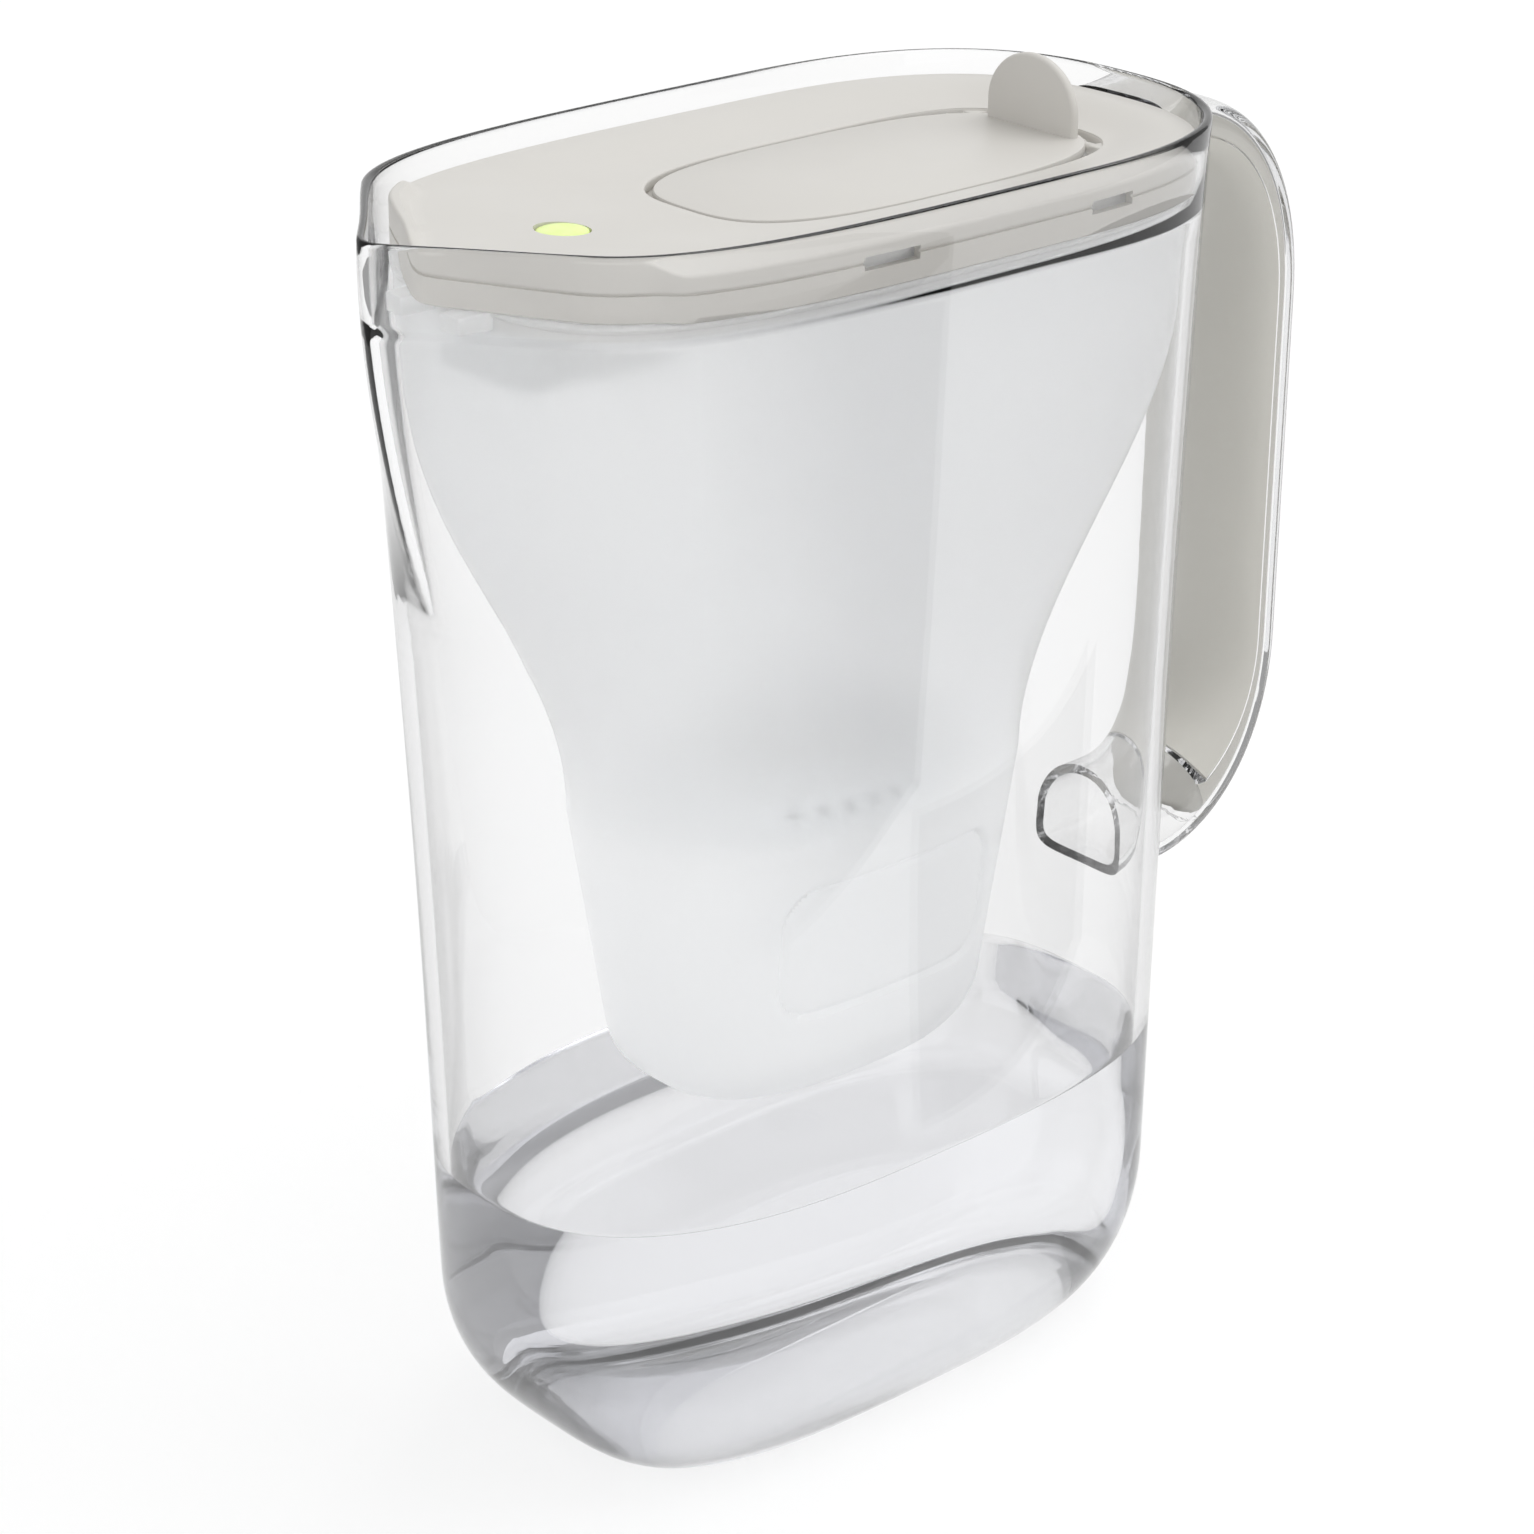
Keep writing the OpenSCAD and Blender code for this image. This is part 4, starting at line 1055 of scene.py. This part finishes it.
def add_camera():
    """The photograph's view: azimuth and elevation in degrees, the rest in millimetres and pixels."""
    azimuth, elevation, roll = VIEW_AZIMUTH, math.radians(23.579), math.radians(0.445)
    distance, focal_px, picture_px = 874.636, 4059.57, 1534
    back = Vector((math.sin(azimuth) * math.cos(elevation), -math.cos(azimuth) * math.cos(elevation),
                   math.sin(elevation)))
    right = Vector((math.cos(azimuth), math.sin(azimuth), 0))
    up = back.cross(right)
    aim = Vector((0, 0, 130)) - 6.359 * right + 9.131 * up
    turned_right = right * math.cos(roll) + up * math.sin(roll)
    turned_up = -right * math.sin(roll) + up * math.cos(roll)
    data = bpy.data.cameras.new("camera")
    data.sensor_width = 36
    data.lens = focal_px / picture_px * data.sensor_width
    data.clip_start = 0.05
    camera = bpy.data.objects.new("camera", data)
    place_at = (aim + back * distance) * MM
    rows = Matrix((turned_right, turned_up, back)).transposed()
    camera.matrix_world = Matrix.Translation(place_at) @ rows.to_4x4()
    bpy.context.scene.collection.objects.link(camera)
    bpy.context.scene.camera = camera


# ---- stage ------------------------------------------------------------------------------------


ROOM_LEVEL = 0.95  # the room's light on the object, where white paper would be 1
ROOM_LEAN = (0.2, -0.25, 0)  # how much more of it comes from each of X, Y and Z
FLOOR_PAINT = 0.3
FLOOR_GLOW = 0.48  # keeps the floor pale under the object's soft shadow
FLOOR_SHOWN = 0.21  # added to that where the floor is looked at
CARD_REACH = 1300  # half the length of a tall card
WHITE = (1, 1, 1, 1)


def seen_directly(tree, mirrored=False):
    """One where a camera, mirror or glass ray looks at the stage, none for the light on the object.
    With mirrored, only paths with a reflection on their way count, so that the stage isn't seen
    straight through the clear plastic."""
    path = tree.nodes.new("ShaderNodeLightPath")
    total = path.outputs["Is Camera Ray"]
    for name in ("Is Glossy Ray", "Is Transmission Ray"):
        total = math_node(tree, "MAXIMUM", total, path.outputs[name])
    if mirrored:
        once = math_node(tree, "MINIMUM", path.outputs["Glossy Depth"], total)
        total = math_node(tree, "MULTIPLY", total, once)
    return math_node(tree, "GREATER_THAN", total, path.outputs["Diffuse Depth"])


def coloured(tree, kind, colour):
    made = tree.nodes.new(kind)
    made.inputs["Color"].default_value = colour
    return made


def stage_surface(obj, name):
    """An empty node tree on a stage object, and the socket that its surface goes to."""
    mat = bpy.data.materials.new(name)
    mat.use_nodes = True
    mat.node_tree.nodes.clear()
    obj.data.materials.append(mat)
    return mat.node_tree, mat.node_tree.nodes.new("ShaderNodeOutputMaterial").inputs["Surface"]


def add_world():
    """A white room, whose light on the object leans to one side."""
    world = bpy.data.worlds.new("studio")
    bpy.context.scene.world = world
    world.use_nodes = True
    tree = world.node_tree
    tree.nodes.clear()
    shown = coloured(tree, "ShaderNodeBackground", WHITE)
    light = coloured(tree, "ShaderNodeBackground", WHITE)
    shown.inputs["Strength"].default_value = 1.0
    blend = tree.nodes.new("ShaderNodeMixShader")
    out = tree.nodes.new("ShaderNodeOutputWorld")
    coord = tree.nodes.new("ShaderNodeTexCoord")
    side = tree.nodes.new("ShaderNodeVectorMath")
    side.operation = "DOT_PRODUCT"
    side.inputs[1].default_value = ROOM_LEAN
    tree.links.new(coord.outputs["Generated"], side.inputs[0])
    tree.links.new(math_node(tree, "ADD", side.outputs["Value"], ROOM_LEVEL), light.inputs["Strength"])
    tree.links.new(seen_directly(tree), blend.inputs["Fac"])
    tree.links.new(light.outputs[0], blend.inputs[1])
    tree.links.new(shown.outputs[0], blend.inputs[2])
    tree.links.new(blend.outputs[0], out.inputs["Surface"])


def add_floor():
    size = 12000
    floor = add_mesh("floor", [(-size, -size, -0.05), (size, -size, -0.05), (size, size, -0.05),
                               (-size, size, -0.05)], [(0, 1, 2, 3)])
    tree, surface = stage_surface(floor, "floor")
    diffuse = coloured(tree, "ShaderNodeBsdfDiffuse", (FLOOR_PAINT, FLOOR_PAINT, FLOOR_PAINT, 1))
    glow = tree.nodes.new("ShaderNodeEmission")
    both = tree.nodes.new("ShaderNodeAddShader")
    level = math_node(tree, "MULTIPLY_ADD", seen_directly(tree), FLOOR_SHOWN, FLOOR_GLOW)
    tree.links.new(level, glow.inputs["Strength"])
    tree.links.new(diffuse.outputs[0], both.inputs[0])
    tree.links.new(glow.outputs[0], both.inputs[1])
    tree.links.new(both.outputs[0], surface)


def add_card(name, corners, shown, fade=None):
    """An upright card beside the object, which no view shows. Clear plastic mirrors it as grey, and it
    lights the object as the room behind it does. fade is where it turns from white to grey, in
    millimetres along X."""
    (x0, y0), (x1, y1), height = corners
    card = add_mesh(name, [(x0, y0, 0), (x1, y1, 0), (x1, y1, height), (x0, y0, height)], [(0, 1, 2, 3)])
    tree, surface = stage_surface(card, name)
    change = shown - ROOM_LEVEL
    if fade:
        coord = tree.nodes.new("ShaderNodeTexCoord")
        place_x = tree.nodes.new("ShaderNodeSeparateXYZ")
        ramp = tree.nodes.new("ShaderNodeMapRange")
        ramp.inputs["From Min"].default_value = fade[0] * MM
        ramp.inputs["From Max"].default_value = fade[1] * MM
        ramp.inputs["To Min"].default_value = 1 - ROOM_LEVEL
        ramp.inputs["To Max"].default_value = change
        tree.links.new(coord.outputs["Object"], place_x.inputs[0])
        tree.links.new(place_x.outputs["X"], ramp.inputs["Value"])
        change = ramp.outputs["Result"]
    glow = tree.nodes.new("ShaderNodeEmission")
    level = math_node(tree, "MULTIPLY_ADD", seen_directly(tree, True), change, ROOM_LEVEL)
    tree.links.new(level, glow.inputs["Strength"])
    tree.links.new(glow.outputs[0], surface)
    card.visible_camera = False
    card.visible_diffuse = False
    card.visible_shadow = False


def add_flags():
    """Tall cards left and right of the object, which draw the edges of the clear plastic, and two low
    ones that the jug's near wall mirrors."""
    across = np.array([math.cos(VIEW_AZIMUTH), math.sin(VIEW_AZIMUTH)])
    away = np.array([-across[1], across[0]])
    for name, reach in (("left_card", -650), ("right_card", 950)):
        ends = reach * across - CARD_REACH * away, reach * across + CARD_REACH * away
        add_card(name, (*ends, 1400), 0.35)
    add_card("far_card", ((-40, -289), (MIRROR_EDGE, -289), 150), 0.15, (-40, 160))
    add_card("low_card", ((92, -152), (230, -152), 80), 0.4)


def add_sun(azimuth, elevation, strength, angle):
    data = bpy.data.lights.new("sun", "SUN")
    data.energy = strength
    data.angle = math.radians(angle)
    lamp = bpy.data.objects.new("sun", data)
    a, e = math.radians(azimuth), math.radians(elevation)
    toward = Vector((math.sin(a) * math.cos(e), -math.cos(a) * math.cos(e), math.sin(e)))
    lamp.rotation_mode = "QUATERNION"
    lamp.rotation_quaternion = toward.to_track_quat("Z", "Y")
    bpy.context.scene.collection.objects.link(lamp)


# ---- putting it together ----------------------------------------------------------------------


def finish_piece(obj, body, slot, *nodes):
    obj.data.materials.clear()
    obj.data.materials.append(FINISH[slot])
    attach(obj, body)
    if nodes:
        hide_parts(*nodes)


jug = cut(jug_wall(), [handle_channel(), handle_socket()], "UNION", 30)
finish_piece(jug, "jug", "clear_jug", "jug_body")
finish_piece(handle_grip(), "jug", "grip_grey", "handle_grip")
hopper = cut(hopper_shell(), hopper_lugs() + hopper_tabs(), "UNION", 30)
finish_piece(hopper, "hopper", "milky_clear", "hopper_cup", "hopper_funnel", "hopper_rim")
finish_piece(lid(), "lid", "warm_grey", "lid_shell")
finish_piece(flap(), "flap", "warm_grey", "flap")
finish_piece(button(), "button", "button_lime", "indicator_button")
fill = water()
fill.data.materials.append(water_look())
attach(fill, "jug")

slots = {row["node"]: row["material_slot"] for row in frame["record"]["subparts"]}
for node, obj in frame["nodes"].items():
    obj.data.materials.clear()
    obj.data.materials.append(FINISH[slots[node]])

add_camera()
add_world()
add_flags()
add_floor()
add_sun(80, 62, 0.6, 50)

scene = bpy.context.scene
scene.view_settings.view_transform = "Standard"
scene.cycles.max_bounces = 24
scene.cycles.transmission_bounces = 24
scene.cycles.glossy_bounces = 24
scene.cycles.blur_glossy = 0
scene.cycles.diffuse_bounces = 12
scene.cycles.transparent_max_bounces = 16
